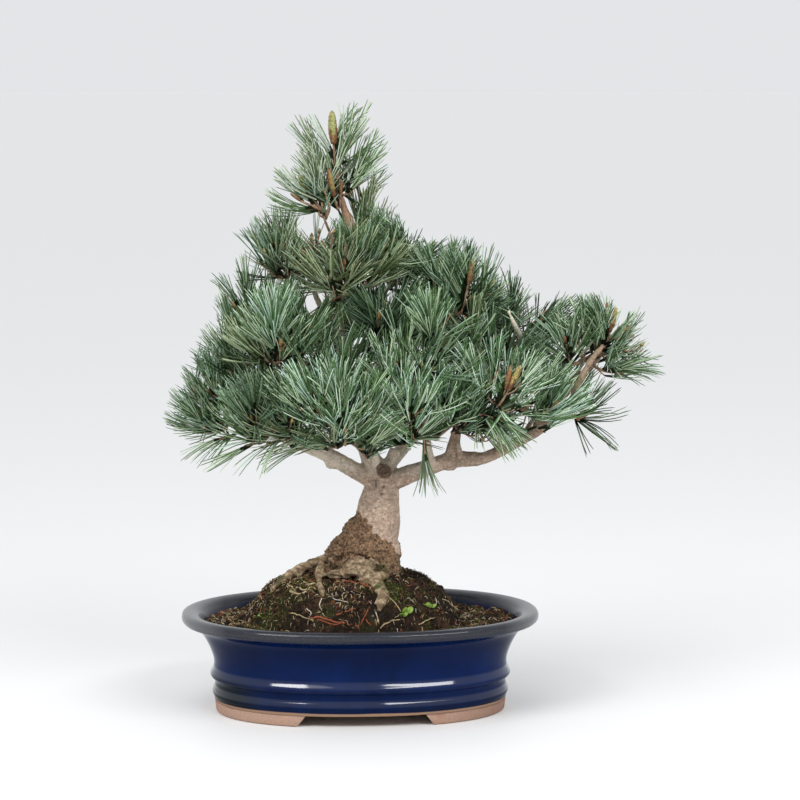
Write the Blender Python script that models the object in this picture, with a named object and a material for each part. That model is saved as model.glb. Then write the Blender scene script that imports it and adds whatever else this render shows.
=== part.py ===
"""A Japanese white pine bonsai in its oval glazed pot, as separate solids.

Metres, +Z up, front towards -Y. The pot's middle is at x = y = 0 until centre_on_ground moves the whole.
"""

import math
import random

import bmesh
import bpy
import numpy as np
from mathutils import Quaternion, Vector

MM = 0.001
GAP = 0.3 * MM
UP = Vector((0.0, 0.0, 1.0))
SMOOTH_BELOW = 35

# Pot: an oval bowl whose outline is inset evenly from the lip
POT_LENGTH = 305 * MM
POT_WIDTH = 226 * MM
OUTLINE_POWER = 2.2
POT_SIDES = 32
# (inset from the lip, height): underside, foot recess, two raised bands, waist, lip
POT_OUTSIDE = (
    (60 * MM, 9.3 * MM),
    (27.8 * MM, 9.3 * MM),
    (26.3 * MM, 17.5 * MM),
    (27.4 * MM, 21.5 * MM),
    (27.2 * MM, 27.5 * MM),
    (25.4 * MM, 31.5 * MM),
    (25.0 * MM, 41 * MM),
    (23.2 * MM, 51 * MM),
    (19.4 * MM, 62 * MM),
    (14.9 * MM, 70 * MM),
    (3.4 * MM, 75 * MM),
    (0.0 * MM, 80 * MM),
    (3.0 * MM, 84.3 * MM),
)
# (inset, height): inner edge of the lip, wall, floor
POT_INSIDE = (
    (15.2 * MM, 82.4 * MM),
    (26 * MM, 67 * MM),
    (31 * MM, 50 * MM),
    (33.5 * MM, 30 * MM),
    (39 * MM, 17 * MM),
)

# Feet: two unglazed walls round the ends, open at front and back
FOOT_HEIGHT = 9 * MM
FOOT_INSETS = {"outer_low": 29 * MM, "outer_high": 27.9 * MM, "inner": 45 * MM}
FOOT_END_LOW = 57 * MM
FOOT_END_HIGH = 50 * MM
FOOT_STATIONS = 15

# Soil: fills the pot and rises in a mound under the tree
SOIL_EDGE = 75.5 * MM
SOIL_EDGE_INSET = 20.5 * MM
SOIL_WALL_GAP = 0.36 * MM
MOUND_LEFT = 102 * MM
MOUND_RIGHT = 83 * MM
MOUND_DEPTH = 78 * MM
MOUND_POWER = 5
# Waves over the mound, in radians a metre
RIPPLES = (90, 120, 210, 150)
SOIL_ROUGHNESS = 1.2 * MM
SOIL_RINGS = 7
SEAT_RADIUS = 37 * MM

# Trunk: stations (x, y, height, radius) from the flat cut on the mound to the tip of the leader
GROUND = 118 * MM
TRUNK_STATIONS = (
    (1.5, 0, 118, 32),
    (2.9, 0, 128, 30.6),
    (8.6, 0, 141, 27),
    (10.6, 0, 149, 23.6),
    (14.8, 0, 157, 19.4),
    (15.9, 0, 173, 17.9),
    (17.5, -1, 188, 15.2),
    (16, 0, 200, 12),
    (8, 2, 217, 8),
    (0, 6, 246, 7.4),
    (-8, 9, 280, 6.8),
    (-16, 9, 315, 6.0),
    (-20, 7, 342, 5.3),
    (-18, 5, 370, 4.6),
    (-12, 3, 397, 3.8),
    (-12, 1, 420, 3.2),
    (-18, 0, 442, 2.4),
)
TRUNK_SIDES = 10
TRUNK_STEP = 14 * MM
FLARE_LOBES = 5
FLARE_DEPTH = 0.13
FLARE_TOP = 150 * MM
FLARE_TURN = math.pi
BARK_CLEAR = 0.55 * MM

# Surface roots: stations (x, y, height, radius) over the mound
ROOTS = {
    "root_bar": ((-32, -33, 119, 3.4), (-14, -40, 121, 4.6), (6, -42, 121, 4.6), (22, -38, 117, 3.6)),
    "root_left": (
        (-26, -6, 130, 5.0),
        (-43, -9, 124.5, 4.8),
        (-55, -12, 119.5, 4.6),
        (-67, -14, 112, 4.2),
        (-77, -17, 104, 3.6),
    ),
    "root_front": ((-34, -22, 127, 3.4), (-37, -34, 119, 3.6), (-36, -46, 110, 3.2), (-34, -56, 102, 2.4)),
    "root_knuckle": ((4, -42, 115, 6.2), (11, -51, 112, 6.6), (16, -60, 104, 4.6), (11, -69, 94, 3.0)),
}
ROOT_SIDES = 8

# Main boughs that show below the crown: stations (x, y, height, radius)
MAIN_BOUGHS = {
    "bough_left": (
        (13, -1, 194, 8.0),
        (0, -3, 202, 7.4),
        (-18, -8, 213, 7.0),
        (-33, -10, 221, 6.2),
        (-64, -10, 234, 5.0),
        (-92, -6, 246, 3.6),
        (-112, 2, 256, 2.6),
    ),
    "bough_right": (
        (22, -2, 193, 9.0),
        (37, -3, 199, 8.4),
        (67, -11, 211, 7.0),
        (82, -14, 215, 7.4),
        (104, -17, 216, 5.6),
        (133, -18, 230, 4.6),
        (157, -17, 246, 5.2),
        (172, -15, 268, 3.2),
        (186, -13, 290, 2.6),
    ),
    "bough_back": (
        (20, 4, 200, 6.4),
        (36, 18, 218, 5.4),
        (62, 30, 244, 4.8),
        (98, 36, 278, 3.8),
        (132, 34, 310, 2.6),
    ),
}
BOUGH_SIDES = 6
BOUGH_STEP = 17 * MM

# Foliage masses: centre in millimetres, shoots, how far the outer shoots lean from the mass's lead
# in degrees, the limb that carries it, and where on that limb (0 to 1)
MASSES = {
    "crown_tip": ((-18, 0, 462), 6, 42, "trunk", 1.0),
    "crown_left": ((-32, -16, 428), 5, 34, "trunk", 0.82),
    "crown_right": ((4, 12, 424), 5, 34, "trunk", 0.84),
    "upper_left": ((-50, -6, 382), 6, 65, "trunk", 0.66),
    "upper_front": ((-8, -36, 376), 6, 70, "trunk", 0.70),
    "upper_back": ((32, 30, 362), 6, 70, "trunk", 0.68),
    "upper_rear": ((-30, 52, 362), 5, 75, "trunk", 0.62),
    "upper_right": ((80, -14, 346), 7, 68, "trunk", 0.52),
    "left_shoulder": ((-80, 22, 322), 5, 65, "trunk", 0.48),
    "left_front": ((-64, -48, 310), 7, 78, "trunk", 0.42),
    "far_left": ((-108, 4, 264), 7, 72, "bough_left", 1.0),
    "low_left": ((-70, -48, 254), 6, 68, "bough_left", 0.58),
    "front_centre": ((-22, -76, 272), 8, 80, "trunk", 0.31),
    "low_front": ((10, -42, 240), 5, 70, "trunk", 0.27),
    "front_right": ((46, -68, 296), 7, 78, "bough_right", 0.22),
    "middle": ((26, -16, 322), 6, 85, "trunk", 0.39),
    "right_inner": ((78, -34, 252), 6, 72, "bough_right", 0.34),
    "right_front": ((116, -48, 284), 7, 75, "bough_right", 0.50),
    "right_middle": ((104, 4, 312), 6, 85, "bough_back", 0.62),
    "right_back": ((140, 32, 298), 6, 70, "bough_back", 1.0),
    "far_right": ((190, -12, 304), 8, 68, "bough_right", 1.0),
    "right_low": ((160, 8, 266), 6, 68, "bough_right", 0.54),
    "back_left": ((-74, 66, 296), 6, 80, "trunk", 0.36),
    "back_centre": ((-4, 82, 300), 6, 80, "trunk", 0.33),
    "back_right": ((74, 70, 300), 6, 80, "bough_back", 0.40),
    "back_low": ((34, 56, 246), 5, 75, "bough_back", 0.14),
}
CROWN_AXIS = Vector((0.010, 0.0, 0.250))
BOUGH_START_SHARE = 0.55
BOUGH_START_LEAST = 2.3 * MM
BOUGH_END_RADIUS = 2.0 * MM
BOUGH_LEAVE_RISE = 0.3
BOUGH_ARRIVE_RISE = 0.25
BOUGH_HANDLES = (0.4, 0.3)
ENTRY_BEFORE_CENTRE = 22 * MM

# Shoots: a twig that ends in a slim core with needles standing out
STEM_SIDES = 4
TWIG_RADIUS = 1.25 * MM
TWIG_ROOT_RADIUS = 1.0 * MM
CORE_RADIUS = 2.1 * MM
CORE_END_SHARE = 0.6
CORE_LENGTH = 19 * MM
CORE_BANDS = 3
NEEDLE_LONG = 46 * MM
NEEDLE_SHORT = 38 * MM
NEEDLE_SHARES = (0.9, 1.0)
NEEDLE_CUTS = (1.0, 0.81, 0.62)
NEEDLE_OPEN_BASE = 78
NEEDLE_OPEN_TIP = 24
NEEDLE_OPEN_BUD = 9
NEEDLE_JITTER = 5
NEEDLE_TRIES = 3
BUD_HEIGHT = 2 * MM
SHOOT_TRIES = 24
LEAN_SHARES = (0.55, 1.15)
TWIG_PER_LEAN = 0.27 * MM
TWIG_SHARES = (0.8, 1.25)
SHOOT_TURN_UP = 0.35
STEM_SHARES = (0.45, 0.88)
GOLDEN_ANGLE = 137.5
TURN_JITTER = 25
OUTWARD_RISE = 0.5
LEAD_RISE = 0.7
TWIG_BARE = 4 * MM
CELL_MARGIN = 0.6 * MM
CORE_CLEARANCE = 2.4 * MM
NEEDLE_CLEARANCE = 1.1 * MM
NEEDLE_HALF_WIDTH = 0.5 * MM
SAMPLE_STEP = 3 * MM
LIMB_OWNER = -1

# Surface colours (red, green, blue), roughness
FINISHES = {
    "glaze": ((0.012, 0.035, 0.16), 0.12),
    "clay": ((0.50, 0.33, 0.25), 0.85),
    "soil": ((0.030, 0.020, 0.014), 0.95),
    "bark": ((0.30, 0.22, 0.16), 0.85),
    "needles": ((0.10, 0.24, 0.17), 0.55),
}


def clear_scene():
    for old in list(bpy.data.objects):
        bpy.data.objects.remove(old, do_unlink=True)


def make_collection(name, hidden=False):
    made = bpy.data.collections.new(name)
    made.hide_render = hidden
    bpy.context.scene.collection.children.link(made)
    return made


def make_material(name):
    colour, roughness = FINISHES[name]
    material = bpy.data.materials.new(name)
    material.use_nodes = True
    shader = material.node_tree.nodes["Principled BSDF"]
    shader.inputs["Base Color"].default_value = (*colour, 1.0)
    shader.inputs["Roughness"].default_value = roughness
    material.diffuse_color = (*colour, 1.0)
    return material


def add_object(name, mesh, collection, material):
    mesh.name = name
    made = bpy.data.objects.new(name, mesh)
    collection.objects.link(made)
    mesh.materials.clear()
    mesh.materials.append(material)
    mesh.shade_smooth()
    mesh.set_sharp_from_angle(angle=math.radians(SMOOTH_BELOW))
    return made


def add_cutter(name, mesh, collection):
    cutter = bpy.data.objects.new(name, mesh)
    collection.objects.link(cutter)
    cutter.hide_render = True
    cutter.display_type = "WIRE"
    return cutter


def apply_boolean(target, operation, solver, cutter=None, collection=None):
    """Runs one Boolean on the target and keeps its result as the target's mesh."""
    modifier = target.modifiers.new("join" if operation == "UNION" else "cut", "BOOLEAN")
    modifier.operation = operation
    modifier.solver = solver
    if collection:
        modifier.operand_type = "COLLECTION"
        modifier.collection = collection
    else:
        modifier.object = cutter
    bpy.context.view_layer.update()
    evaluated = target.evaluated_get(bpy.context.evaluated_depsgraph_get())
    result = bpy.data.meshes.new_from_object(evaluated)
    target.modifiers.clear()
    target.data = result


def keep_largest(target):
    """Drops every loose scrap but the largest piece of the object's mesh."""
    bm = bmesh.new()
    bm.from_mesh(target.data)
    left = set(bm.verts)
    pieces = []
    while left:
        piece = {left.pop()}
        waiting = list(piece)
        while waiting:
            vert = waiting.pop()
            near = {edge.other_vert(vert) for edge in vert.link_edges} & left
            left -= near
            piece |= near
            waiting.extend(near)
        pieces.append(piece)
    largest = max(pieces, key=len)
    bmesh.ops.delete(bm, geom=[v for v in bm.verts if v not in largest], context="VERTS")
    bm.to_mesh(target.data)
    bm.free()


def cut_clear(target, mesh, cutters):
    """Cuts the mesh away from the target and keeps the target's largest piece."""
    cutter = add_cutter("cut_" + target.name, mesh, cutters)
    apply_boolean(target, "DIFFERENCE", "EXACT", cutter=cutter)
    bpy.data.objects.remove(cutter, do_unlink=True)
    keep_largest(target)


def loft(bm, rings):
    """One closed body through rings of equally many points. Returns the side faces, band by band."""
    end = bm.faces.new([bm.verts.new(point) for point in rings[0]])
    first = list(end.verts)
    bands = []
    for ring in rings[1:]:
        end = bmesh.ops.extrude_discrete_faces(bm, faces=[end])["faces"][0]
        for vert, point in zip(end.verts, ring):
            vert.co = point
        around = (face for edge in end.edges for face in edge.link_faces)
        bands.append([face for face in around if face is not end])
    bm.faces.new(reversed(first))
    bmesh.ops.recalc_face_normals(bm, faces=bm.faces)
    return bands


def loft_mesh(rings):
    bm = bmesh.new()
    loft(bm, rings)
    mesh = bpy.data.meshes.new("loft")
    bm.to_mesh(mesh)
    bm.free()
    return mesh


def oval(inset, angle):
    """A point of the pot's outline, moved in from the lip by inset."""
    across, along = math.cos(angle), math.sin(angle)
    power = 2 / OUTLINE_POWER
    x = math.copysign(abs(across) ** power, across) * (POT_LENGTH / 2 - inset)
    y = math.copysign(abs(along) ** power, along) * (POT_WIDTH / 2 - inset)
    return x, y


def oval_ring(inset, height, sides):
    angles = [2 * math.pi * step / sides for step in range(sides)]
    return [Vector((*oval(inset, angle), height)) for angle in angles]


def make_pot(collection, material):
    rings = [oval_ring(inset, height, POT_SIDES) for inset, height in POT_OUTSIDE + POT_INSIDE]
    return add_object("pot", loft_mesh(rings), collection, material)


def make_foot(name, side, collection, material):
    """A low wall that follows the pot's end on one side (-1 left, 1 right), with slanted ends."""
    corners = (
        (FOOT_INSETS["outer_low"], 0.0, FOOT_END_LOW),
        (FOOT_INSETS["outer_high"], FOOT_HEIGHT, FOOT_END_HIGH),
        (FOOT_INSETS["inner"], FOOT_HEIGHT, FOOT_END_HIGH),
        (FOOT_INSETS["inner"], 0.0, FOOT_END_LOW),
    )
    rings = []
    for station in range(FOOT_STATIONS):
        share = 2 * station / (FOOT_STATIONS - 1) - 1
        ring = []
        for inset, height, end in corners:
            widest = math.acos((end / (POT_LENGTH / 2 - inset)) ** (OUTLINE_POWER / 2))
            x, y = oval(inset, share * widest)
            ring.append(Vector((side * x, y, height)))
        rings.append(ring)
    return add_object(name, loft_mesh(rings), collection, material)


def mound_height(x, y):
    """Height of the soil: flat at the rim, rising to the ground level under the trunk."""
    centre = TRUNK_STATIONS[0][0] * MM
    reach = MOUND_LEFT if x < centre else MOUND_RIGHT
    far = math.hypot((x - centre) / reach, y / MOUND_DEPTH)
    rise = max(0.0, 1 - far**MOUND_POWER)
    ripple = math.sin(RIPPLES[0] * x + 1) * math.cos(RIPPLES[1] * y)
    ripple += math.sin(RIPPLES[2] * x - RIPPLES[3] * y)
    height = SOIL_EDGE + (GROUND - GAP - SOIL_EDGE) * rise
    return min(height + SOIL_ROUGHNESS * ripple * (1 - rise**3), GROUND - GAP)


def make_soil(collection, material):
    rings = []
    for inset, height in reversed(POT_INSIDE[1:]):
        rings.append(oval_ring(inset + SOIL_WALL_GAP, height + GAP, POT_SIDES))
    edge = oval_ring(SOIL_EDGE_INSET, SOIL_EDGE, POT_SIDES)
    seat_x = TRUNK_STATIONS[0][0] * MM
    for step in range(SOIL_RINGS + 1):
        share = step / SOIL_RINGS
        ring = []
        for outer in edge:
            direction = Vector((outer.x - seat_x, outer.y, 0.0)).normalized()
            inner = Vector((seat_x, 0.0, 0.0)) + direction * SEAT_RADIUS
            x = outer.x + (inner.x - outer.x) * share
            y = outer.y + (inner.y - outer.y) * share
            if step in (0, SOIL_RINGS):
                height = outer.z if step == 0 else GROUND - GAP
            else:
                height = mound_height(x, y)
            ring.append(Vector((x, y, height)))
        rings.append(ring)
    return add_object("soil", loft_mesh(rings), collection, material)


def smooth_route(stations, step):
    """Points with radii on a smooth curve through the stations, about one step apart."""
    known = [(Vector(s[:3]) * MM, s[3] * MM) for s in stations]
    padded = [known[0], *known, known[-1]]
    route = [known[0]]
    for before, start, end, after in zip(padded, padded[1:], padded[2:], padded[3:]):
        count = max(1, round((end[0] - start[0]).length / step))
        for index in range(1, count + 1):
            t = index / count
            weights = (
                (-t + 2 * t * t - t**3) / 2,
                (2 - 5 * t * t + 3 * t**3) / 2,
                (t + 4 * t * t - 3 * t**3) / 2,
                (t**3 - t * t) / 2,
            )
            point = sum((w * p[0] for w, p in zip(weights, (before, start, end, after))), Vector())
            radius = start[1] + (end[1] - start[1]) * t
            route.append((point, radius))
    return route


def route_point(route, share):
    """The point and radius at a share of the route's length."""
    lengths = [(b[0] - a[0]).length for a, b in zip(route, route[1:])]
    left = share * sum(lengths)
    for (start, end), length in zip(zip(route, route[1:]), lengths):
        if left <= length:
            t = left / length
            return start[0].lerp(end[0], t), start[1] + (end[1] - start[1]) * t
        left -= length
    return route[-1]


def trunk_rings(route, grow=0.0):
    """Rings across the trunk, with the lobes of the root flare near the ground and a flat first ring."""
    rings = []
    for index, (point, radius) in enumerate(route):
        after = route[min(index + 1, len(route) - 1)][0]
        before = route[max(index - 1, 0)][0]
        tangent = (after - before).normalized()
        near = max(0.0, 1 - (point.z - GROUND) / (FLARE_TOP - GROUND))
        turn = UP.rotation_difference(tangent)
        turn = Quaternion().slerp(turn, 1 - near)
        ring = []
        for side in range(TRUNK_SIDES):
            angle = 2 * math.pi * side / TRUNK_SIDES
            lobe = 1 + FLARE_DEPTH * near * math.cos(FLARE_LOBES * angle + FLARE_TURN)
            across = Vector((math.cos(angle), math.sin(angle), 0.0))
            ring.append(point + turn @ (across * (radius * lobe + grow)))
        rings.append(ring)
    return rings


def make_trunk(route, collection, material):
    return add_object("trunk", loft_mesh(trunk_rings(route)), collection, material)


def tube_mesh(route, sides, grow=0.0):
    """A closed round tube along the route, as a mesh made from a bevelled curve."""
    curve = bpy.data.curves.new("tube", "CURVE")
    curve.dimensions = "3D"
    curve.bevel_depth = 1.0
    curve.bevel_resolution = (sides - 4) // 2
    curve.use_fill_caps = True
    spline = curve.splines.new("POLY")
    spline.points.add(len(route) - 1)
    for point, (place, radius) in zip(spline.points, route):
        point.co = (*place, 1.0)
        point.radius = radius + grow
    holder = bpy.data.objects.new("tube", curve)
    bpy.context.scene.collection.objects.link(holder)
    bpy.context.view_layer.update()
    evaluated = holder.evaluated_get(bpy.context.evaluated_depsgraph_get())
    mesh = bpy.data.meshes.new_from_object(evaluated)
    bpy.data.objects.remove(holder, do_unlink=True)
    bpy.data.curves.remove(curve)
    bm = bmesh.new()
    bm.from_mesh(mesh)
    bmesh.ops.remove_doubles(bm, verts=bm.verts, dist=0.01 * MM)
    bmesh.ops.recalc_face_normals(bm, faces=bm.faces)
    bm.to_mesh(mesh)
    bm.free()
    return mesh


def bough_route(parent, share, centre):
    """A bough from inside its parent to the place where it enters the mass round the centre."""
    start, parent_radius = route_point(parent, share)
    run = centre - start
    outward = Vector((run.x, run.y, 0.0)).normalized()
    arrive = (run.normalized() + UP * BOUGH_ARRIVE_RISE).normalized()
    entry = centre - arrive * ENTRY_BEFORE_CENTRE
    length = (entry - start).length
    handle_a = start + (outward + UP * BOUGH_LEAVE_RISE).normalized() * length * BOUGH_HANDLES[0]
    handle_b = entry - arrive * length * BOUGH_HANDLES[1]
    first = max(BOUGH_START_LEAST, parent_radius * BOUGH_START_SHARE)
    count = max(3, round(length / BOUGH_STEP))
    route = []
    for index in range(count + 1):
        t = index / count
        s = 1 - t
        point = start * s**3 + handle_a * 3 * s * s * t + handle_b * 3 * s * t * t + entry * t**3
        route.append((point, first + (BOUGH_END_RADIUS - first) * t))
    return route


def plan_limbs():
    """Every limb's route by name, and for each mass the limb whose tip carries it."""
    limbs = {"trunk": smooth_route(TRUNK_STATIONS, TRUNK_STEP)}
    parents = {}
    for name, stations in MAIN_BOUGHS.items():
        limbs[name] = smooth_route(stations, BOUGH_STEP)
        parents[name] = "trunk"
    carriers = {}
    for name, (centre, _, _, carrier, share) in MASSES.items():
        if share == 1.0:
            carriers[name] = carrier
            continue
        bough = "bough_" + name
        limbs[bough] = bough_route(limbs[carrier], share, Vector(centre) * MM)
        parents[bough] = carrier
        carriers[name] = bough
    return limbs, parents, carriers


def inflated(name, limbs):
    """The named limb's mesh, grown by the gap that a limb joined to it keeps."""
    if name == "trunk":
        return loft_mesh(trunk_rings(limbs[name], BARK_CLEAR))
    return tube_mesh(limbs[name], BOUGH_SIDES, GAP)


def make_boughs(limbs, parents, collection, cutters, material):
    for name, parent in parents.items():
        bough = add_object(name, tube_mesh(limbs[name], BOUGH_SIDES), collection, material)
        cut_clear(bough, inflated(parent, limbs), cutters)


class Room:
    """The space of one mass: nearer its own centre than any other's, and clear of what grows there."""

    def __init__(self, name, limbs):
        self.centre = np.array(MASSES[name][0]) * MM
        self.others = np.array([entry[0] for key, entry in MASSES.items() if key != name]) * MM
        self.spans = np.linalg.norm(self.others - self.centre, axis=1)
        self.spines = np.empty((0, 8))
        for route in limbs.values():
            for (start, radius), (end, _) in zip(route, route[1:]):
                self.fill(start, end, radius, LIMB_OWNER)

    def fill(self, start, end, radius, owner):
        """Takes up the place of one straight piece of a limb, a twig or a needle."""
        self.spines = np.vstack([self.spines, [*start, *(end - start), radius, owner]])

    def in_cell(self, points):
        """Whether every point keeps the margin to the planes halfway to the other centres."""
        own = ((points - self.centre) ** 2).sum(axis=1)
        other = ((points[:, None] - self.others) ** 2).sum(axis=2)
        return bool(((other - own[:, None]) / (2 * self.spans) > CELL_MARGIN).all())

    def is_free(self, points, clearance, owner):
        """Whether every point is further than the clearance from all that isn't the owner's own."""
        spines = self.spines[self.spines[:, 7] != owner]
        starts, runs, radii = spines[:, :3], spines[:, 3:6], spines[:, 6]
        offsets = points[:, None] - starts
        shares = (offsets * runs).sum(axis=2) / (runs**2).sum(axis=1)
        nearest = runs * np.clip(shares, 0, 1)[..., None]
        gaps = np.linalg.norm(offsets - nearest, axis=2) - radii
        return bool((gaps > clearance).all())

    def holds(self, start, end, clearance, owner):
        steps = max(2, math.ceil((end - start).length / SAMPLE_STEP))
        points = np.array([start.lerp(end, step / steps) for step in range(steps + 1)])
        return self.in_cell(points) and self.is_free(points, clearance, owner)


def tilted(lead, tilt, turn):
    """The lead direction tilted by one angle and turned about itself by another, in degrees."""
    tilt, turn = math.radians(tilt), math.radians(turn)
    leaning = Vector((math.sin(tilt) * math.cos(turn), math.sin(tilt) * math.sin(turn), math.cos(tilt)))
    return UP.rotation_difference(lead) @ leaning


def plan_shoots(name, carrier, room):
    """For the stem, then each shoot: its root, its direction there, the foot of its core and its aim."""
    place, count, lean = MASSES[name][:3]
    centre = Vector(place) * MM
    rng = random.Random(name)
    tip, before = carrier[-1][0], carrier[-2][0]
    onward = (tip - before).normalized()
    stem_start = tip + onward * GAP
    outward = centre - CROWN_AXIS
    outward.z *= OUTWARD_RISE
    lead = (outward.normalized() + UP * LEAD_RISE).normalized()
    shoots = [(stem_start, onward, centre, lead)]
    room.fill(centre, centre + lead * CORE_LENGTH, CORE_RADIUS, 0)
    for index in range(1, count):
        for _ in range(SHOOT_TRIES):
            turn = GOLDEN_ANGLE * index + rng.uniform(-TURN_JITTER, TURN_JITTER)
            spread = tilted(lead, lean * rng.uniform(*LEAN_SHARES), turn)
            root = stem_start.lerp(centre, rng.uniform(*STEM_SHARES))
            foot = root + spread * lean * TWIG_PER_LEAN * rng.uniform(*TWIG_SHARES)
            aim = (spread + lead * SHOOT_TURN_UP).normalized()
            end = foot + aim * CORE_LENGTH
            if room.holds(root + spread * TWIG_BARE, end, CORE_CLEARANCE, owner=len(shoots)):
                room.fill(foot, end, CORE_RADIUS, len(shoots))
                shoots.append((root, spread, foot, aim))
                break
    return shoots


def ring_across(point, tangent, radius, turn):
    """A ring of the twig or core, square to the tangent and turned by a share of one side."""
    frame = UP.rotation_difference(tangent)
    ring = []
    for side in range(STEM_SIDES):
        angle = 2 * math.pi * (side + turn) / STEM_SIDES
        ring.append(point + frame @ Vector((math.cos(angle), math.sin(angle), 0.0)) * radius)
    return ring


def grow_needle(bm, face, origin, aim, opening, length, room, owner, rng):
    """Draws the face out into one needle, if its place is free."""
    middle = face.calc_center_median()
    outward = middle - origin
    outward -= aim * outward.dot(aim)
    outward.normalize()
    for _ in range(NEEDLE_TRIES):
        angle = math.radians(opening + rng.uniform(-NEEDLE_JITTER, NEEDLE_JITTER))
        direction = aim * math.cos(angle) + outward * math.sin(angle)
        reach = length * rng.uniform(*NEEDLE_SHARES)
        for share in NEEDLE_CUTS:
            tip = middle + direction * reach * share
            if room.holds(middle, tip, NEEDLE_CLEARANCE, owner):
                room.fill(middle, tip, NEEDLE_HALF_WIDTH, owner)
                made = bmesh.ops.poke(bm, faces=[face])["verts"][0]
                made.co = tip
                return


def make_shoot(shoot, root_radius, room, owner, rng):
    """One closed body: a twig from its root to its foot, then a core with needles standing out."""
    root, onward, foot, aim = shoot
    rings = [ring_across(root, onward, root_radius, 0.0)]
    rings.append(ring_across(foot, ((foot - root).normalized() + aim).normalized(), TWIG_RADIUS, 0.0))
    for band in range(1, CORE_BANDS + 1):
        place = foot + aim * CORE_LENGTH * band / CORE_BANDS
        radius = CORE_RADIUS * (1.0 if band < CORE_BANDS else CORE_END_SHARE)
        rings.append(ring_across(place, aim, radius, band / 2))
    bm = bmesh.new()
    bands = loft(bm, rings)
    for index, band in enumerate(bands[-CORE_BANDS:]):
        share = (index + 0.5) / CORE_BANDS
        opening = NEEDLE_OPEN_BASE + (NEEDLE_OPEN_TIP - NEEDLE_OPEN_BASE) * share
        length = NEEDLE_LONG + (NEEDLE_SHORT - NEEDLE_LONG) * share
        for face in band:
            grow_needle(bm, face, foot, aim, opening, length, room, owner, rng)
    end = foot + aim * CORE_LENGTH
    caps = [face for face in bm.faces if len(face.verts) == STEM_SIDES]
    cap = min(caps, key=lambda face: (face.calc_center_median() - end).length)
    bud = bmesh.ops.poke(bm, faces=[cap])
    bud["verts"][0].co = end + aim * BUD_HEIGHT
    for face in bud["faces"]:
        grow_needle(bm, face, foot, aim, NEEDLE_OPEN_BUD, NEEDLE_SHORT, room, owner, rng)
    bmesh.ops.triangulate(bm, faces=bm.faces)
    bmesh.ops.recalc_face_normals(bm, faces=bm.faces)
    mesh = bpy.data.meshes.new("shoot")
    bm.to_mesh(mesh)
    bm.free()
    return mesh


def make_mass(name, limbs, carrier, collection, material):
    """All shoots of one mass, joined by one union."""
    room = Room(name, limbs)
    rng = random.Random(name + " needles")
    shoots = plan_shoots(name, limbs[carrier], room)
    stem_radius = limbs[carrier][-1][1]
    leader = make_shoot(shoots[0], stem_radius, room, 0, rng)
    mass = add_object("foliage_" + name, leader, collection, material)
    pieces = make_collection("shoots_of_" + name, hidden=True)
    for index, shoot in enumerate(shoots[1:], start=1):
        mesh = make_shoot(shoot, TWIG_ROOT_RADIUS, room, index, rng)
        add_cutter(f"shoot_{name}_{index}", mesh, pieces)
    apply_boolean(mass, "UNION", "MANIFOLD", collection=pieces)
    for piece in list(pieces.objects):
        bpy.data.objects.remove(piece, do_unlink=True)
    bpy.data.collections.remove(pieces)
    keep_largest(mass)
    return mass


def make_roots(trunk_route, soil, collection, cutters, material):
    """Surface roots, each cut clear of the trunk and of the roots before it, and bedded in the soil."""
    laid = []
    for name, stations in ROOTS.items():
        route = smooth_route(stations, BOUGH_STEP)
        root = add_object(name, tube_mesh(route, ROOT_SIDES), collection, material)
        cut_clear(root, loft_mesh(trunk_rings(trunk_route, BARK_CLEAR)), cutters)
        for other in laid:
            cut_clear(root, tube_mesh(other, ROOT_SIDES, GAP), cutters)
        cut_clear(soil, tube_mesh(route, ROOT_SIDES, GAP), cutters)
        laid.append(route)


def centre_on_ground(collection):
    """Moves the whole plant so that its box is centred on the origin, standing on z = 0."""
    points = [v.co for part in collection.objects for v in part.data.vertices]
    middle_x = (min(p.x for p in points) + max(p.x for p in points)) / 2
    middle_y = (min(p.y for p in points) + max(p.y for p in points)) / 2
    for part in collection.objects:
        part.location = (-middle_x, -middle_y, 0.0)


def main():
    clear_scene()
    plant = make_collection("japanese_white_pine")
    cutters = make_collection("cutters", hidden=True)
    finishes = {name: make_material(name) for name in FINISHES}
    make_pot(plant, finishes["glaze"])
    make_foot("foot_left", -1, plant, finishes["clay"])
    make_foot("foot_right", 1, plant, finishes["clay"])
    soil = make_soil(plant, finishes["soil"])
    limbs, parents, carriers = plan_limbs()
    make_trunk(limbs["trunk"], plant, finishes["bark"])
    make_roots(limbs["trunk"], soil, plant, cutters, finishes["bark"])
    make_boughs(limbs, parents, plant, cutters, finishes["bark"])
    for name, carrier in carriers.items():
        make_mass(name, limbs, carrier, plant, finishes["needles"])
    centre_on_ground(plant)


main()
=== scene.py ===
"""A Japanese white pine bonsai in its pot: needles, twigs, bark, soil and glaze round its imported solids.

Metres throughout. The plant is planned with the pot's middle at x = y = 0, and each finished mesh is then
moved by SHIFT to where the frame has the pot.
"""

import math
import random

import bmesh
import bpy
import numpy as np
from bpy.props import FloatProperty, FloatVectorProperty, IntProperty, PointerProperty
from mathutils import Matrix, Quaternion, Vector, noise


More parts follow.
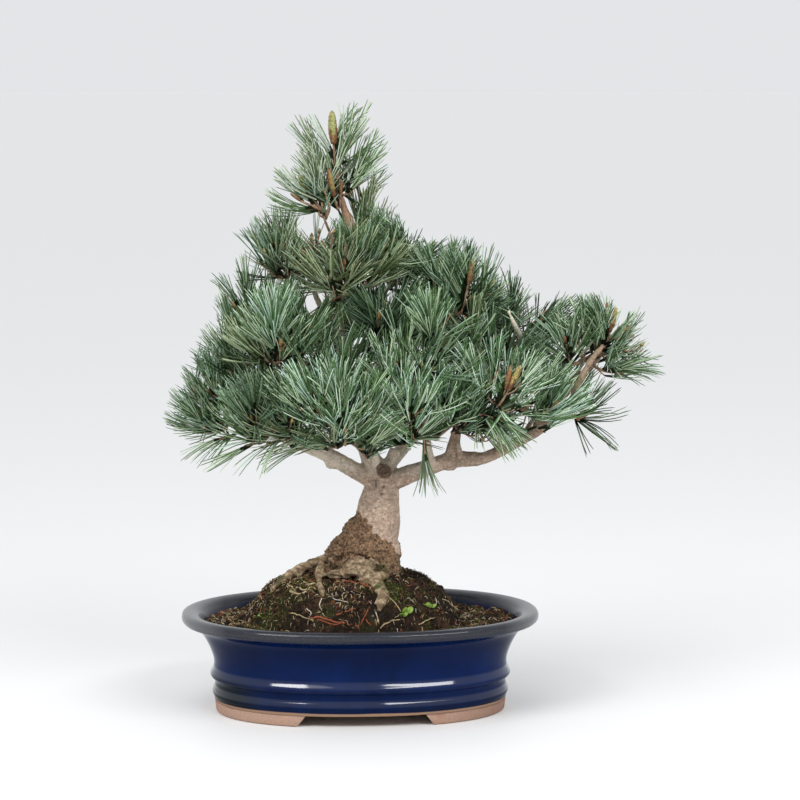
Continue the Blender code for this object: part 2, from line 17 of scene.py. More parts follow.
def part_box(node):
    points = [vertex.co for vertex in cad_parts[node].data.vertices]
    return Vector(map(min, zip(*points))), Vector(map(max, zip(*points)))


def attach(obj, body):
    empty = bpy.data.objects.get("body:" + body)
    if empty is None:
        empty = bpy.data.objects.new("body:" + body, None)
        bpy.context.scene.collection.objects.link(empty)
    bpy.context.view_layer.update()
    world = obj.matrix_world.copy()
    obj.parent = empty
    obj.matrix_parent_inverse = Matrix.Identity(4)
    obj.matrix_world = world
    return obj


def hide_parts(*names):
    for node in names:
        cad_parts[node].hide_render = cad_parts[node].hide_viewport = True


bl_info = {
    "name": "White Pine Bonsai",
    "version": (1, 0, 0),
    "blender": (4, 5, 0),
    "location": "3D View > Sidebar > Bonsai",
    "description": "Grows the needles, bark, soil and glaze of a potted white pine",
    "category": "Object",
}

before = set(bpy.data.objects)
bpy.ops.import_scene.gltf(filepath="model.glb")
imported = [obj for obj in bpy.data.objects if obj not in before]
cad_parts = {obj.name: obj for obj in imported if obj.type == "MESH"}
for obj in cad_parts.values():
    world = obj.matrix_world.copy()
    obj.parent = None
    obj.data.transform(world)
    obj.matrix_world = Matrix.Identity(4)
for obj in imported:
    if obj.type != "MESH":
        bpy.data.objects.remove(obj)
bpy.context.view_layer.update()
POT_LOW, POT_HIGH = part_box("pot")
SHIFT = Vector(((POT_LOW.x + POT_HIGH.x) / 2, (POT_LOW.y + POT_HIGH.y) / 2, 0.0))

MM = 0.001
GAP = 0.3 * MM
UP = Vector((0.0, 0.0, 1.0))
GOLDEN_ANGLE = 137.5

# Pot: (inset from the lip, height) along the underside, up the outside and down the inside, in millimetres
POT_LENGTH = POT_HIGH.x - POT_LOW.x
POT_WIDTH = POT_HIGH.y - POT_LOW.y
OUTLINE_POWER = 2.2
POT_SIDES = 144
POT_PROFILE = (
    (60, 9.3), (32, 9.3), (28.2, 9.4), (27.7, 10.4), (27.3, 12.4), (26.6, 13.8), (26.0, 15.4), (25.9, 17.2),
    (26.3, 18.8), (27.1, 20.4), (27.9, 22.2), (28.1, 24.6), (27.6, 26.6), (26.4, 28.0), (25.2, 29.2),
    (24.4, 30.4), (24.2, 31.6), (24.4, 32.8), (25.2, 34.4), (26.2, 36.2), (27.0, 38.2), (27.3, 40.6),
    (27.2, 43.4), (26.5, 47.0), (25.2, 51.0), (23.3, 55.8), (20.9, 60.6), (18.2, 65.2), (15.0, 69.2),
    (10.9, 72.4), (6.4, 74.0), (2.6, 75.4), (0.4, 78.0),
    (0.1, 80.6), (1.0, 83.0), (3.6, 84.3), (7.0, 84.4), (11.0, 83.8), (14.0, 82.6), (16.2, 80.4),
    (18.2, 77.4), (21.4, 72.7), (26, 67), (31, 50), (33.5, 30), (39, 17),
)
PROFILE_STEP = 1.6

# Feet, two unglazed walls round the pot's ends: the corners of their section, each with its inset from the
# lip, its height and the distance from the pot's middle where that edge ends, in millimetres
FOOT_CORNERS = ((29.0, 0.0, 57.0), (27.9, 9.2, 50.0), (45.0, 9.2, 50.0), (45.0, 0.0, 57.0))
FOOT_STATIONS = 49
FOOT_BEVEL = 0.9 * MM
SHARP_ANGLE = math.radians(35)

# Soil: heights, insets from the lip and the mound's reach to each side, in millimetres. GROUND is its top.
SOIL_EDGE = 75.5
SOIL_EDGE_INSET = 19.6
SOIL_BOTTOM = 60.0
SOIL_BOTTOM_INSET = 30.0
MOUND_LEFT = 102
MOUND_RIGHT = 83
MOUND_DEPTH = 78
MOUND_POWER = 5
RIPPLES = (90, 120, 210, 150)
SOIL_ROUGHNESS = 1.2
MOUND_RINGS = 64
MOUND_INNER = 12
TRUNK_CLEARANCE = 29 * MM
GROUND = 118

# Trunk, roots and main boughs: stations (x, y, height, radius) in millimetres
TRUNK_STATIONS = (
    (1.5, 0, 118, 32),
    (2.9, 0, 128, 30.6),
    (8.6, 0, 141, 27),
    (10.6, 0, 149, 23.6),
    (14.8, 0, 157, 19.4),
    (15.9, 0, 173, 17.9),
    (17.5, -1, 188, 15.2),
    (16, 0, 200, 12),
    (8, 2, 217, 8),
    (0, 6, 246, 7.4),
    (-8, 9, 280, 6.8),
    (-16, 9, 315, 6.0),
    (-20, 7, 342, 5.3),
    (-18, 5, 370, 4.6),
    (-12, 3, 397, 3.8),
    (-12, 1, 420, 3.2),
    (-18, 0, 442, 2.4),
)
TRUNK_STEP = 14 * MM
FLARE_LOBES = 5
FLARE_DEPTH = 0.13
FLARE_TOP = 150 * MM
FLARE_TURN = math.pi
ROOTS = {
    "root_bar": ((-32, -33, 119, 3.4), (-14, -40, 121, 4.6), (6, -42, 121, 4.6), (22, -38, 117, 3.6)),
    "root_left": (
        (-26, -6, 130, 5.0),
        (-43, -9, 124.5, 4.8),
        (-55, -12, 119.5, 4.6),
        (-67, -14, 112, 4.2),
        (-77, -17, 104, 3.6),
    ),
    "root_front": ((-34, -22, 127, 3.4), (-37, -34, 119, 3.6), (-36, -46, 110, 3.2), (-34, -56, 102, 2.4)),
    "root_knuckle": ((4, -42, 115, 6.2), (11, -51, 112, 6.6), (16, -60, 104, 4.6), (11, -69, 94, 3.0)),
}
MAIN_BOUGHS = {
    "bough_left": (
        (13, -1, 194, 8.0),
        (0, -3, 202, 7.4),
        (-18, -8, 213, 7.0),
        (-33, -10, 221, 6.2),
        (-64, -10, 234, 5.0),
        (-92, -6, 246, 3.6),
        (-112, 2, 256, 2.6),
    ),
    "bough_right": (
        (22, -2, 193, 9.0),
        (37, -3, 199, 8.4),
        (67, -11, 211, 7.0),
        (82, -14, 215, 7.4),
        (104, -17, 216, 5.6),
        (133, -18, 230, 4.6),
        (157, -17, 246, 5.2),
        (172, -15, 268, 3.2),
        (186, -13, 290, 2.6),
    ),
    "bough_back": (
        (20, 4, 200, 6.4),
        (36, 18, 218, 5.4),
        (62, 30, 244, 4.8),
        (98, 36, 278, 3.8),
        (132, 34, 310, 2.6),
    ),
}
BOUGH_STEP = 17 * MM
BOUGH_START_SHARE = 0.55
BOUGH_START_LEAST = 2.3 * MM
BOUGH_END_RADIUS = 2.0 * MM
BOUGH_LEAVE_RISE = 0.3
BOUGH_ARRIVE_RISE = 0.25
BOUGH_HANDLES = (0.4, 0.3)
ENTRY_BEFORE_CENTRE = 22 * MM

# Knots, stubs and swellings: (x, y, height, radius) in millimetres, each a short run of two points
STUBS = (
    ((17, -3, 199, 7.5), (20.5, -14.5, 206, 7.0)),
    ((10, 2, 206, 7.0), (8, -4, 222, 5.5)),
    ((24, 2, 204, 6.5), (30, 2, 222, 5.0)),
    ((-24, -8, 214, 6.6), (-26, -11, 208.5, 4.6)),
    ((72, -12, 212, 7.6), (79, -14, 213, 8.0)),
    ((76, -13, 215, 6.4), (81, -15, 238, 4.4)),
    ((92, -15, 215, 6.4), (98, -19, 217, 5.4)),
    ((149, -17, 240, 5.6), (154, -18, 246, 6.6)),
    ((-40, -10, 224, 5.6), (-52, -14, 238, 3.4)),
    ((-7, -6, 147, 7.5), (-13, -8, 148.5, 5.6)),
    ((-8, 0, 406, 6.4), (-10, -2, 416, 5.2), (-13, -3, 426, 3.2), (-16, -4, 437, 2.2)),
    ((-16, -8, 134, 11.0), (-27, -10, 128, 8.5)),
    ((180, -14, 278, 3.0), (188, -20, 288, 3.0), (206, -26, 309, 2.5)),
)
# Pale limbs without bark: (across, height, depth) as seen from the front, both radii, and colour
PALE_LIMBS = {
    "dead_stub": (
        ((134, 306, -14), (136, 317, -34), (131, 328, -48), (125.5, 340, -52)),
        (2.8, 1.3),
        (0.50, 0.46, 0.37),
    ),
    "right_limb": (
        ((180, 268, -18), (185, 278, -28), (195, 297, -34), (206, 311, -36)),
        (3.0, 2.2),
        (0.36, 0.26, 0.18),
    ),
}

# Bark: the ringed scar at the fork, and the size and lift of the surface roots against their stations
BARK_MARKS = ("old", "root", "scar", "pit", "moss")
SCAR = Vector((0.0205, -0.0160, 0.2062))
SCAR_RADIUS = 8.8 * MM
SCAR_RINGS = 2400
ROOT_SHARE = 0.95
ROOT_LIFT = 1 * MM
ROOT_TOP = 0.135
# Steps along the limbs where one skin is made of them, and the sides of round things
SKIN_TRUNK_STEP = 4 * MM
SKIN_STEP = 5 * MM
ROOT_STEP = 3 * MM
TRUNK_SIDES = 40
LIMB_SIDES = 12
THREAD_SIDES = 6
# Where on the trunk's foot moss fades out, and how deep a pit goes, as a share of the relief
MOSS_TOP = 0.134
MOSS_FADE = 0.014
PIT_DEPTH = 0.8
SMOOTHING_ROUNDS = 4

# Pits in the trunk's and roots' front, sunk and painted near black as shade: both ends as seen from the
# front, and radius
PITS = (
    ((20.5, 190.4), (20.0, 189.6), 1.0),
    ((17.4, 183.6), (19.0, 183.8), 0.9),
    ((13.2, 195.0), (13.6, 190.5), 0.7),
    ((-26, 113.5), (-16, 112.0), 1.3),
    ((-12, 113.0), (-3, 112.0), 1.9),
    ((5, 99.5), (11, 101.5), 1.3),
)
# Moss on the roots' front, the same way
MOSSY = (
    ((2, 104), (14, 104.5), 2.6),
    ((14, 104), (22, 110), 3.0),
    ((14, 123), (24, 118), 2.6),
    ((-24, 121), (-14, 123), 2.0),
)
# Roots that arch over the trunk's foot: (across, height, depth) as seen from the front, and both radii
FOOT_ARCS = (
    (
        ((-30, 130, -16), (-20, 132, -23), (-8, 134.5, -29), (4, 132.5, -31), (14, 125, -32), (22, 117, -32)),
        (1.9, 1.2),
    ),
    (((-14, 119, -36), (-8, 124.5, -36), (-1, 126, -36), (6, 124.5, -36), (12, 119, -37)), (3.4, 3.0)),
    (((-11, 119.5, -35), (-1, 121, -35), (9, 119.5, -35)), (4.2, 4.2)),
    (((-1, 108, -47), (3, 112, -46), (11, 114, -44), (21, 110, -42)), (3.4, 2.6)),
)
# Smaller roots on the mound: (across, height) as seen from the front, and both radii
SMALL_ROOTS = (
    (((-41, 124), (-53, 115), (-60, 107), (-63, 99)), (1.8, 1.0)),
    (((-46, 117), (-55, 109), (-58, 101)), (1.5, 0.9)),
    (((-63, 112), (-72, 104), (-78, 96)), (1.7, 1.0)),
    (((-36, 116), (-43, 108), (-47, 100)), (1.3, 0.8)),
    (((50, 110), (58, 109), (66, 104)), (2.2, 1.3)),
    (((27, 97), (32, 91), (36, 84)), (1.5, 0.9)),
    (((41, 94), (47, 88), (52, 81)), (1.7, 1.0)),
    (((15, 99), (17, 93), (15, 86)), (2.6, 3.6)),
)
# Fibres that show clearly, the same way
SEEN_FIBRES = {
    "straw": (
        (((-52, 104), (-48, 107), (-44, 104.5), (-39, 106), (-36, 103)), (0.9, 0.6)),
        (((-54, 102.5), (-49, 100), (-42, 102.5), (-38, 100.5)), (0.9, 0.6)),
        (((-60, 99), (-53, 96.5), (-46, 99)), (0.8, 0.5)),
        (((-62, 105), (-57, 101), (-54, 97)), (0.8, 0.5)),
        (((23, 95), (35, 80)), (0.5, 0.4)),
        (((17, 66), (37, 74)), (0.5, 0.4)),
        (((50, 69), (63, 75)), (0.5, 0.4)),
        (((70, 92), (77, 88), (83, 84)), (0.5, 0.4)),
        (((-60, 80), (-49, 75), (-40, 72)), (0.5, 0.4)),
    ),
    "white": (
        (((-33, 92), (-35, 87), (-33, 83)), (0.5, 0.4)),
        (((-24, 93), (-15, 90), (-10, 88)), (0.35, 0.25)),
        (((-46, 84), (-42, 79), (-44, 75)), (0.4, 0.3)),
        (((13, 80), (15, 75), (14, 71)), (0.4, 0.25)),
    ),
    "rust": (
        (((-32, 118), (-26, 111.5), (-16, 109), (-4, 106.5), (12, 100)), (0.9, 0.7)),
        (((-43, 76), (-28, 74), (-18, 71.5), (-9, 67.5)), (1.0, 0.7)),
        (((-36, 74), (-26, 71), (-16, 70)), (0.7, 0.5)),
        (((-21, 78.5), (-12, 81.5), (-4, 83)), (0.7, 0.4)),
        (((8, 85), (4, 77), (0, 67.5)), (0.6, 0.4)),
        (((5, 75), (6, 71), (9, 69)), (0.6, 0.5)),
        (((-75, 80), (-70, 86)), (0.5, 0.4)),
    ),
}
# Seedlings: (across, height) as seen from the front, and size
SEEDLINGS = ((39, 80, 7.5), (36, 77, 5.5), (56, 85.5, 4.6), (61, 84.5, 4.8), (-86, 76, 3.2))
CLUMP = Vector((0.047, -0.014, 0.0))

# Foliage masses: centre in millimetres, number of shoots, their lean in degrees, the limb that carries the
# mass, and the share along that limb
MASSES = {
    "crown_tip": ((-18, 0, 462), 6, 42, "trunk", 1.0),
    "crown_left": ((-32, -16, 428), 5, 34, "trunk", 0.82),
    "crown_right": ((4, 12, 424), 5, 34, "trunk", 0.84),
    "upper_left": ((-50, -6, 382), 6, 65, "trunk", 0.66),
    "upper_front": ((-8, -36, 376), 6, 70, "trunk", 0.70),
    "upper_back": ((32, 30, 362), 6, 70, "trunk", 0.68),
    "upper_rear": ((-30, 52, 362), 5, 75, "trunk", 0.62),
    "upper_right": ((80, -14, 346), 7, 68, "trunk", 0.52),
    "left_shoulder": ((-80, 22, 322), 5, 65, "trunk", 0.48),
    "left_front": ((-64, -48, 310), 7, 78, "trunk", 0.42),
    "far_left": ((-108, 4, 264), 7, 72, "bough_left", 1.0),
    "low_left": ((-70, -48, 254), 6, 68, "bough_left", 0.58),
    "front_centre": ((-22, -76, 272), 8, 80, "trunk", 0.31),
    "low_front": ((10, -42, 240), 5, 70, "trunk", 0.27),
    "front_right": ((46, -68, 296), 7, 78, "bough_right", 0.22),
    "middle": ((26, -16, 322), 6, 85, "trunk", 0.39),
    "right_inner": ((78, -34, 252), 6, 72, "bough_right", 0.34),
    "right_front": ((116, -48, 284), 7, 75, "bough_right", 0.50),
    "right_middle": ((104, 4, 312), 6, 85, "bough_back", 0.62),
    "right_back": ((140, 32, 298), 6, 70, "bough_back", 1.0),
    "far_right": ((190, -12, 304), 8, 68, "bough_right", 1.0),
    "right_low": ((160, 8, 266), 6, 68, "bough_right", 0.54),
    "back_left": ((-74, 66, 296), 6, 80, "trunk", 0.36),
    "back_centre": ((-4, 82, 300), 6, 80, "trunk", 0.33),
    "back_right": ((74, 70, 300), 6, 80, "bough_back", 0.40),
    "back_low": ((34, 56, 246), 5, 75, "bough_back", 0.14),
}
CROWN_AXIS = Vector((0.010, 0.0, 0.250))
CORE_RADIUS = 2.1 * MM
CORE_LENGTH = 19 * MM
SHOOT_TRIES = 24
LEAN_SHARES = (0.55, 1.15)
TWIG_PER_LEAN = 0.27 * MM
TWIG_SHARES = (0.8, 1.25)
SHOOT_TURN_UP = 0.35
STEM_SHARES = (0.45, 0.88)
TURN_JITTER = 25
OUTWARD_RISE = 0.5
LEAD_RISE = 0.7
TWIG_BARE = 4 * MM
CELL_MARGIN = 0.6 * MM
CORE_CLEARANCE = 2.4 * MM
SAMPLE_STEP = 3 * MM
LIMB_OWNER = -1

# Shoots that stand out in the crown: foot and tip as seen from the front, (across, height, depth), tone,
# number of bundles, and the candle at the tip, (length, colour), if there is one. A shoot that may pass
# the crown's outline also has a number: how wide its needles open, as a share. All in millimetres.
FEATURES = {
    "crown_tip": (
        ((-19, 436, -4), (-22, 483, -5), "frost", 22, (28, "green")),
        ((-18, 426, -10), (-22, 438, -16), "mid", 7, (25, "orange")),
        ((-17, 428, -8), (-16, 439, -12), "mid", 3, (13, "brown")),
        ((-14, 446, -2), (4, 464, -2), "frost", 9),
        ((-21, 452, -8), (-38, 472, -12), "frost", 10),
        ((-14, 438, -6), (2, 450, -8), "pale", 8),
        ((-20, 462, -4), (-8, 484, -6), "pale", 7),
    ),
    "crown_left": (
        ((-34, 428, -14), (-45, 443, -22), "frost", 12, (15, "green")),
        ((-30, 424, -14), (-50, 433, -22), "pale", 11, (12, "brown")),
        ((-34, 424, -10), (-56, 428, -14), "pale", 8),
        ((-26, 430, -18), (-36, 452, -24), "frost", 10),
    ),
    "crown_right": (
        ((0, 402, 2), (8, 422, 0), "olive", 10),
        ((6, 398, 6), (22, 406, 4), "olive", 7),
    ),
    "upper_left": (
        ((-69, 370, -14), (-71, 394, -20), "mid", 22, (7, "orange")),
        ((-66, 368, -12), (-84, 380, -14), "deep", 11),
        ((-62, 366, -16), (-56, 384, -22), "olive", 14),
        ((-58, 384, -34), (-46, 390, -40), "dry", 4),
    ),
    "upper_front": (
        ((-12, 358, -40), (-13, 379, -50), "olive", 18, (7, "orange")),
        ((-16, 356, -38), (-36, 366, -46), "olive", 14),
        ((-4, 358, -38), (18, 372, -46), "olive", 14),
        ((0, 368, -26), (-5, 388, -32), "mid", 11),
        ((-14, 354, -42), (-30, 346, -48), "olive", 10),
    ),
    "upper_back": (
        ((36, 368, 10), (45, 388, 6), "deep", 18),
        ((26, 366, 10), (20, 384, 8), "mid", 12),
    ),
    "middle": (
        ((17, 316, -40), (16, 334, -50), "deep", 22, (8, "orange")),
    ),
    "upper_right": (
        ((85, 338, -26), (92, 364, -34), "mid", 23, (22, "brown")),
        ((96, 344, -22), (112, 364, -24), "mid", 11),
        ((74, 346, -24), (66, 366, -30), "mid", 14),
    ),
    "front_right": (
        ((60, 310, -66), (60, 328, -78), "pale", 26),
        ((46, 231, -74), (40, 266, -92), "bloom", 32, (5, "orange")),
        ((30, 258, -72), (22, 288, -84), "bloom", 20),
        ((46, 231, -66), (26, 226, -72), "pale", 13),
        ((54, 238, -62), (55, 218, -64), "frost", 4, None, 0.2),
        ((52, 234, -60), (70, 246, -66), "mid", 8),
    ),
    "left_shoulder": (
        ((-90, 334, -4), (-105, 344, -8), "mid", 16, (6, "orange")),
        ((-90, 306, 0), (-108, 318, -6), "mid", 14, (6, "brown")),
        ((-100, 290, -4), (-117, 302, -8), "mid", 14),
    ),
    "left_front": (
        ((-72, 306, -60), (-73, 328, -70), "bloom", 30),
        ((-67, 298, -62), (-67, 311, -74), "pale", 5, (8, "orange")),
        ((-72, 296, -58), (-92, 304, -66), "olive", 16),
        ((-69, 296, -58), (-48, 310, -66), "pale", 16),
    ),
    "far_left": (
        ((-110, 260, -6), (-126, 269, -12), "mid", 17, (7, "brown")),
        ((-114, 242, -8), (-134, 248, -14), "mid", 20),
        ((-114, 240, -6), (-132, 237, -10), "mid", 12),
        ((-104, 238, -8), (-120, 231, -14), "pale", 3, None, 0.5),
        ((-94, 278, -14), (-107, 286, -20), "deep", 12, (6, "brown")),
    ),
    "low_left": (
        ((-86, 227, -56), (-92, 247, -66), "mid", 26, (7, "orange")),
        ((-50, 243, -62), (-56, 262, -74), "pale", 24, (7, "orange")),
        ((-44, 236, -62), (-66, 233, -70), "olive", 16),
        ((-28, 222, -40), (-48, 231, -48), "olive", 16),
        ((-84, 230, -52), (-98, 225, -58), "pale", 3, None, 0.5),
        ((-66, 232, -54), (-76, 227, -60), "pale", 2, None, 0.5),
        ((-40, 228, -44), (-52, 223, -50), "pale", 2, None, 0.5),
    ),
    "front_centre": (
        ((-15, 233, -86), (-20, 270, -104), "bloom", 36),
        ((-13, 226, -88), (-12, 236, -96), "pale", 4, (7, "orange")),
        ((-12, 234, -84), (14, 250, -94), "bloom", 17),
        ((-22, 240, -84), (-44, 264, -98), "bloom", 22),
        ((-12, 229, -80), (12, 229, -88), "olive", 10),
        ((-14, 228, -60), (-26, 223, -66), "olive", 6),
        ((20, 232, -50), (34, 226, -56), "mid", 8),
    ),
    "right_inner": (
        ((75, 246, -56), (68, 268, -70), "bloom", 28),
        ((64, 232, -30), (70, 248, -38), "deep", 10),
        ((78, 236, -34), (90, 244, -42), "mid", 8),
        ((77, 246, -54), (88, 264, -66), "pale", 18),
        ((98, 252, -50), (120, 247, -58), "pale", 18, (6, "brown")),
        ((96, 248, -46), (104, 232, -52), "olive", 11),
    ),
    "right_front": (
        ((117, 259, -62), (127, 274, -72), "bloom", 18, (25, "yellow")),
        ((120, 262, -62), (124, 275, -70), "bloom", 3, (22, "orange")),
        ((113, 262, -58), (100, 282, -70), "bloom", 20),
        ((146, 250, -40), (158, 263, -48), "bloom", 26),
        ((150, 248, -38), (168, 255, -44), "bloom", 16),
        ((100, 306, -46), (92, 324, -56), "olive", 14),
    ),
    "right_middle": (
        ((122, 328, 6), (132, 346, 4), "deep", 10),
        ((146, 324, 6), (156, 340, 4), "deep", 10),
    ),
    "far_right": (
        ((205, 306, -24), (212, 324, -32), "mid", 26, (22, "yellow")),
        ((179, 295, -26), (174, 314, -34), "mid", 20, (7, "brown")),
        ((204, 290, -26), (222, 287, -32), "mid", 18),
        ((200, 304, -20), (193, 326, -24), "pale", 15),
        ((214, 310, -22), (232, 320, -26), "mid", 14),
    ),
    "right_low": (
        ((184, 248, -14), (194, 244, -20), "deep", 4, (5, "orange"), 0.5),
        ((182, 250, -14), (192, 251, -20), "deep", 3, None, 0.5),
    ),
}

# The crown's outline from the front: (across, height) in millimetres, on the upright plane through the
# pot's middle. A bundle whose tip would be seen outside it is turned, or left out.
CROWN_OUTLINE = (
    (-67, 498), (-50, 512), (-38, 520), (4, 517), (13, 512), (28, 480), (28, 462), (17, 449), (26, 437),
    (41, 412), (66, 403), (90, 409), (104, 399), (138, 368), (166, 345), (175, 356), (204, 362), (232, 345),
    (257, 325), (250, 309), (261, 291), (258, 277), (220, 280), (212, 264), (196, 252), (176, 240),
    (160, 238), (150, 220), (128, 206), (118, 216), (82, 225), (62, 206), (34, 214),
    (-10, 218), (-54, 212), (-96, 210), (-130, 212), (-168, 224), (-170, 257), (-156, 290), (-142, 319),
    (-122, 338), (-130, 354), (-121, 372), (-100, 385), (-104, 407), (-95, 425), (-74, 446), (-74, 458),
    (-52, 476), (-44, 473), (-57, 490),
)
# Twigs that show in front: (across, height) at both ends, and depth
SHOWN_TWIGS = (
    ((186, 280), (206, 311), -36),
    ((134, 320), (125.5, 340), -52),
    ((107, 257), (120, 270), -62),
    ((-17, 428), (-7, 417), -8),
    ((84, 336), (91, 358), -28),
)
SHOWN_CANDLE = 6.5 * MM
SHOWN_MARGINS = (2.8 * MM, 5.5 * MM)
SHOWN_IN_FRONT = 6 * MM
# Places (across, height, radius) where the sky shows through, and the middle of the outline
SKY = ((-40, 350, 9), (-29, 412, 8), (-46, 413, 9), (25, 350, 4), (36, 214, 9), (-2, 214, 8), (-34, 214, 6))
CROWN_MIDDLE = Vector((0.02, 0.31))
# How far outside the outline the tips of bundles may show, from and to
CROWN_SLACK = (-26 * MM, 3 * MM)
FEATURE_SLACK = (-10 * MM, 6 * MM)
FREE_SLACK = (60 * MM, 60 * MM)

# Twigs: radius where common, where they stand out and at the side, and the step along them
TWIG_RADII = (0.9 * MM, 1.2 * MM, 0.6 * MM)
TWIG_STEP = 3 * MM
TWIG_BARE_SHARE = 0.30
LEAST_LEFT = 0.5
# Finer shoots on each twig
SIDE_SHARES = (0.4, 0.85)
SIDE_TILT = (40, 72)
SIDE_LENGTH = (9 * MM, 18 * MM)
SIDE_CORE = 13 * MM
SIDE_CLEARANCE = 5.5 * MM
SIDE_TRIES = 14
SIDE_BARE_SHARE = 0.25
SIDE_SAME_TONE = 0.7
SIDE_SWING = 60
CORE_RISE = 0.7

# Needles
NEEDLE_CUTS = (0.22, 0.5, 0.76, 0.94)
BUNDLE_NEEDLES = 5
BUNDLE_KINDS = 12
BUNDLE_SPREAD = (1, 8)
NEEDLE_BEND = (-0.08, 0.12)
NEEDLE_SWAY = (-0.08, 0.08)
BUNDLE_RISE = (-0.18, 0.42)
ROLL_SPREAD = 0.45
BUNDLE_TRIES = 4
BUNDLE_SAMPLES = (0.3, 0.5, 0.7, 0.85, 1.0)
LENGTH_SHARES = (0.86, 1.0)
SIZE_SHARES = (0.86, 1.04)
SIZE_FALL = 0.14
TINT_SHARE = 0.42
DUSTY_SHARE = 0.30
HALF_DUSTY_SHARE = 0.64
OPEN_AT_FOOT = 64
OPEN_AT_TIP = 10
OPEN_ROUND_CANDLE = 34
OPEN_JITTER = 6
LIGHT_LIFT = 0.32
FEATURE_SIZE = 1.08
DRY_SIZE = 0.6
PIECE_LIMIT = 190000

# Each tone: foot of the needles, darkened as a painted shade, green faces, dusty faces, as screen values
TONES = {
    "bloom": ((26, 46, 15), (96, 131, 86), (197, 218, 197)),
    "pale": ((23, 41, 13), (82, 114, 69), (178, 199, 168)),
    "mid": ((18, 34, 10), (61, 90, 52), (151, 173, 144)),
    "deep": ((13, 26, 8), (42, 65, 34), (112, 137, 108)),
    "olive": ((38, 44, 18), (86, 103, 64), (163, 176, 143)),
    # The paler, greyer tone at the crown's top and edges: partly the needles' own bloom, partly a painted
    # backlight
    "frost": ((40, 52, 28), (99, 117, 86), (190, 204, 182)),
    "dry": ((36, 22, 14), (70, 44, 32), (112, 80, 64)),
}
# Needles are a little warmer than their tone, but for the share TINT_SHARE, whose green is as it is and whose
# dust is a little bluer
WARM = (1.02, 1.0, 0.94)
COOL = (0.90, 0.985, 1.05)
# The tones that each mass's shoots are given at random. Inner masses lean to the darker tones: partly the
# needles' own tone, partly a painted shade
MASS_TONES = {
    "crown_tip": "frost pale mid",
    "crown_left": "frost pale mid",
    "crown_right": "olive mid",
    "upper_left": "pale frost olive mid",
    "upper_front": "olive frost mid",
    "upper_right": "pale mid deep",
    "left_front": "mid deep olive",
    "low_left": "mid deep frost",
    "far_left": "pale mid deep frost",
    "left_shoulder": "pale mid deep frost",
    "front_centre": "pale mid deep",
    "front_right": "pale mid deep",
    "right_front": "mid deep",
    "right_inner": "deep mid deep",
    "low_front": "mid deep",
    "far_right": "frost pale",
}
# Masses not listed, most of them at the back, take these, darker on the whole: partly a painted shade
OTHER_TONES = "mid deep mid deep pale"
# Share of the usual number of bundles, where the photo's crown is thin
MASS_FULLNESS = {
    "crown_tip": 0.10,
    "crown_left": 0.18,
    "crown_right": 0.15,
    "upper_left": 0.35,
    "upper_front": 0.4,
    "upper_rear": 0.6,
    "upper_back": 0.7,
    "upper_right": 0.6,
    "left_front": 0.6,
    "front_centre": 0.5,
    "front_right": 0.5,
    "right_front": 0.45,
    "right_inner": 0.5,
    "right_middle": 0.5,
    "right_back": 0.6,
    "far_right": 0.3,
    "right_low": 0.3,
    "far_left": 0.5,
    "left_shoulder": 0.5,
}
# Candles and buds, and the brown scales round their feet
CANDLES = {
    "green": (0.31, 0.34, 0.11),
    "yellow": (0.46, 0.34, 0.11),
    "orange": (0.36, 0.17, 0.06),
    "brown": (0.22, 0.13, 0.055),
}
CANDLE_FOOT = (0.21, 0.085, 0.035)
CANDLE_FOOT_SHARE = 0.36
CANDLE_LEAST = 9 * MM
CANDLE_SEAT = 0.97
CANDLE_RISE = 0.25
# One shoot in so many without a candle ends in a bud of each colour
BUD_SHARE = 16

# Camera: lens in millimetres, the eye, and its drop and turn in degrees
CAMERA_LENS = 135.0
CAMERA_DISTANCE = 2.528
CAMERA_EYE = Vector((0.0339, -CAMERA_DISTANCE, 0.5526))
CAMERA_DROP = 6.506
CAMERA_YAW = 4.0
CAMERA_TURN = Matrix.Rotation(math.radians(CAMERA_YAW), 3, "Z")


class NeedleSettings(bpy.types.PropertyGroup):
    length: FloatProperty(
        name="Length", description="Length of the longest needles", default=47 * MM, min=0.01, unit="LENGTH"
    )
    width: FloatProperty(
        name="Width", description="Width of one needle", default=0.98 * MM, min=0.0002, unit="LENGTH"
    )
    bundles: IntProperty(
        name="Bundles", description="Bundles of five needles on a common shoot", default=11, min=1
    )
    front_share: FloatProperty(
        name="Fullness in front",
        description="Share of the bundles on shoots that stand out",
        default=1.0,
        min=0.1,
        subtype="FACTOR",
    )
    side_bundles: IntProperty(
        name="Side bundles", description="Bundles of five needles on a side shoot", default=7, min=1
    )


class BarkSettings(bpy.types.PropertyGroup):
    grain: FloatProperty(
        name="Grain", description="Size of the mesh that carries the relief", default=1.0 * MM, unit="LENGTH"
    )
    relief: FloatProperty(
        name="Relief", description="Height of the flakes on the old bark", default=1.5 * MM, unit="LENGTH"
    )
    pale: FloatVectorProperty(
        name="Young bark",
        description="Colour of the smooth bark",
        subtype="COLOR",
        default=(0.495, 0.370, 0.282),
    )
    dark: FloatVectorProperty(
        name="Old bark",
        description="Colour of the flaky bark",
        subtype="COLOR",
        default=(0.160, 0.096, 0.055),
    )


class PotSettings(bpy.types.PropertyGroup):
    glaze: FloatVectorProperty(
        name="Glaze",
        description="Colour of the thick glaze",
        subtype="COLOR",
        default=(0.0016, 0.0095, 0.054),
    )
    thin: FloatVectorProperty(
        name="Thin glaze",
        description="Colour on rim and ridges",
        subtype="COLOR",
        default=(0.018, 0.020, 0.026),
    )
    clay: FloatVectorProperty(
        name="Clay", description="Colour of the bare feet", subtype="COLOR", default=(0.40, 0.255, 0.19)
    )


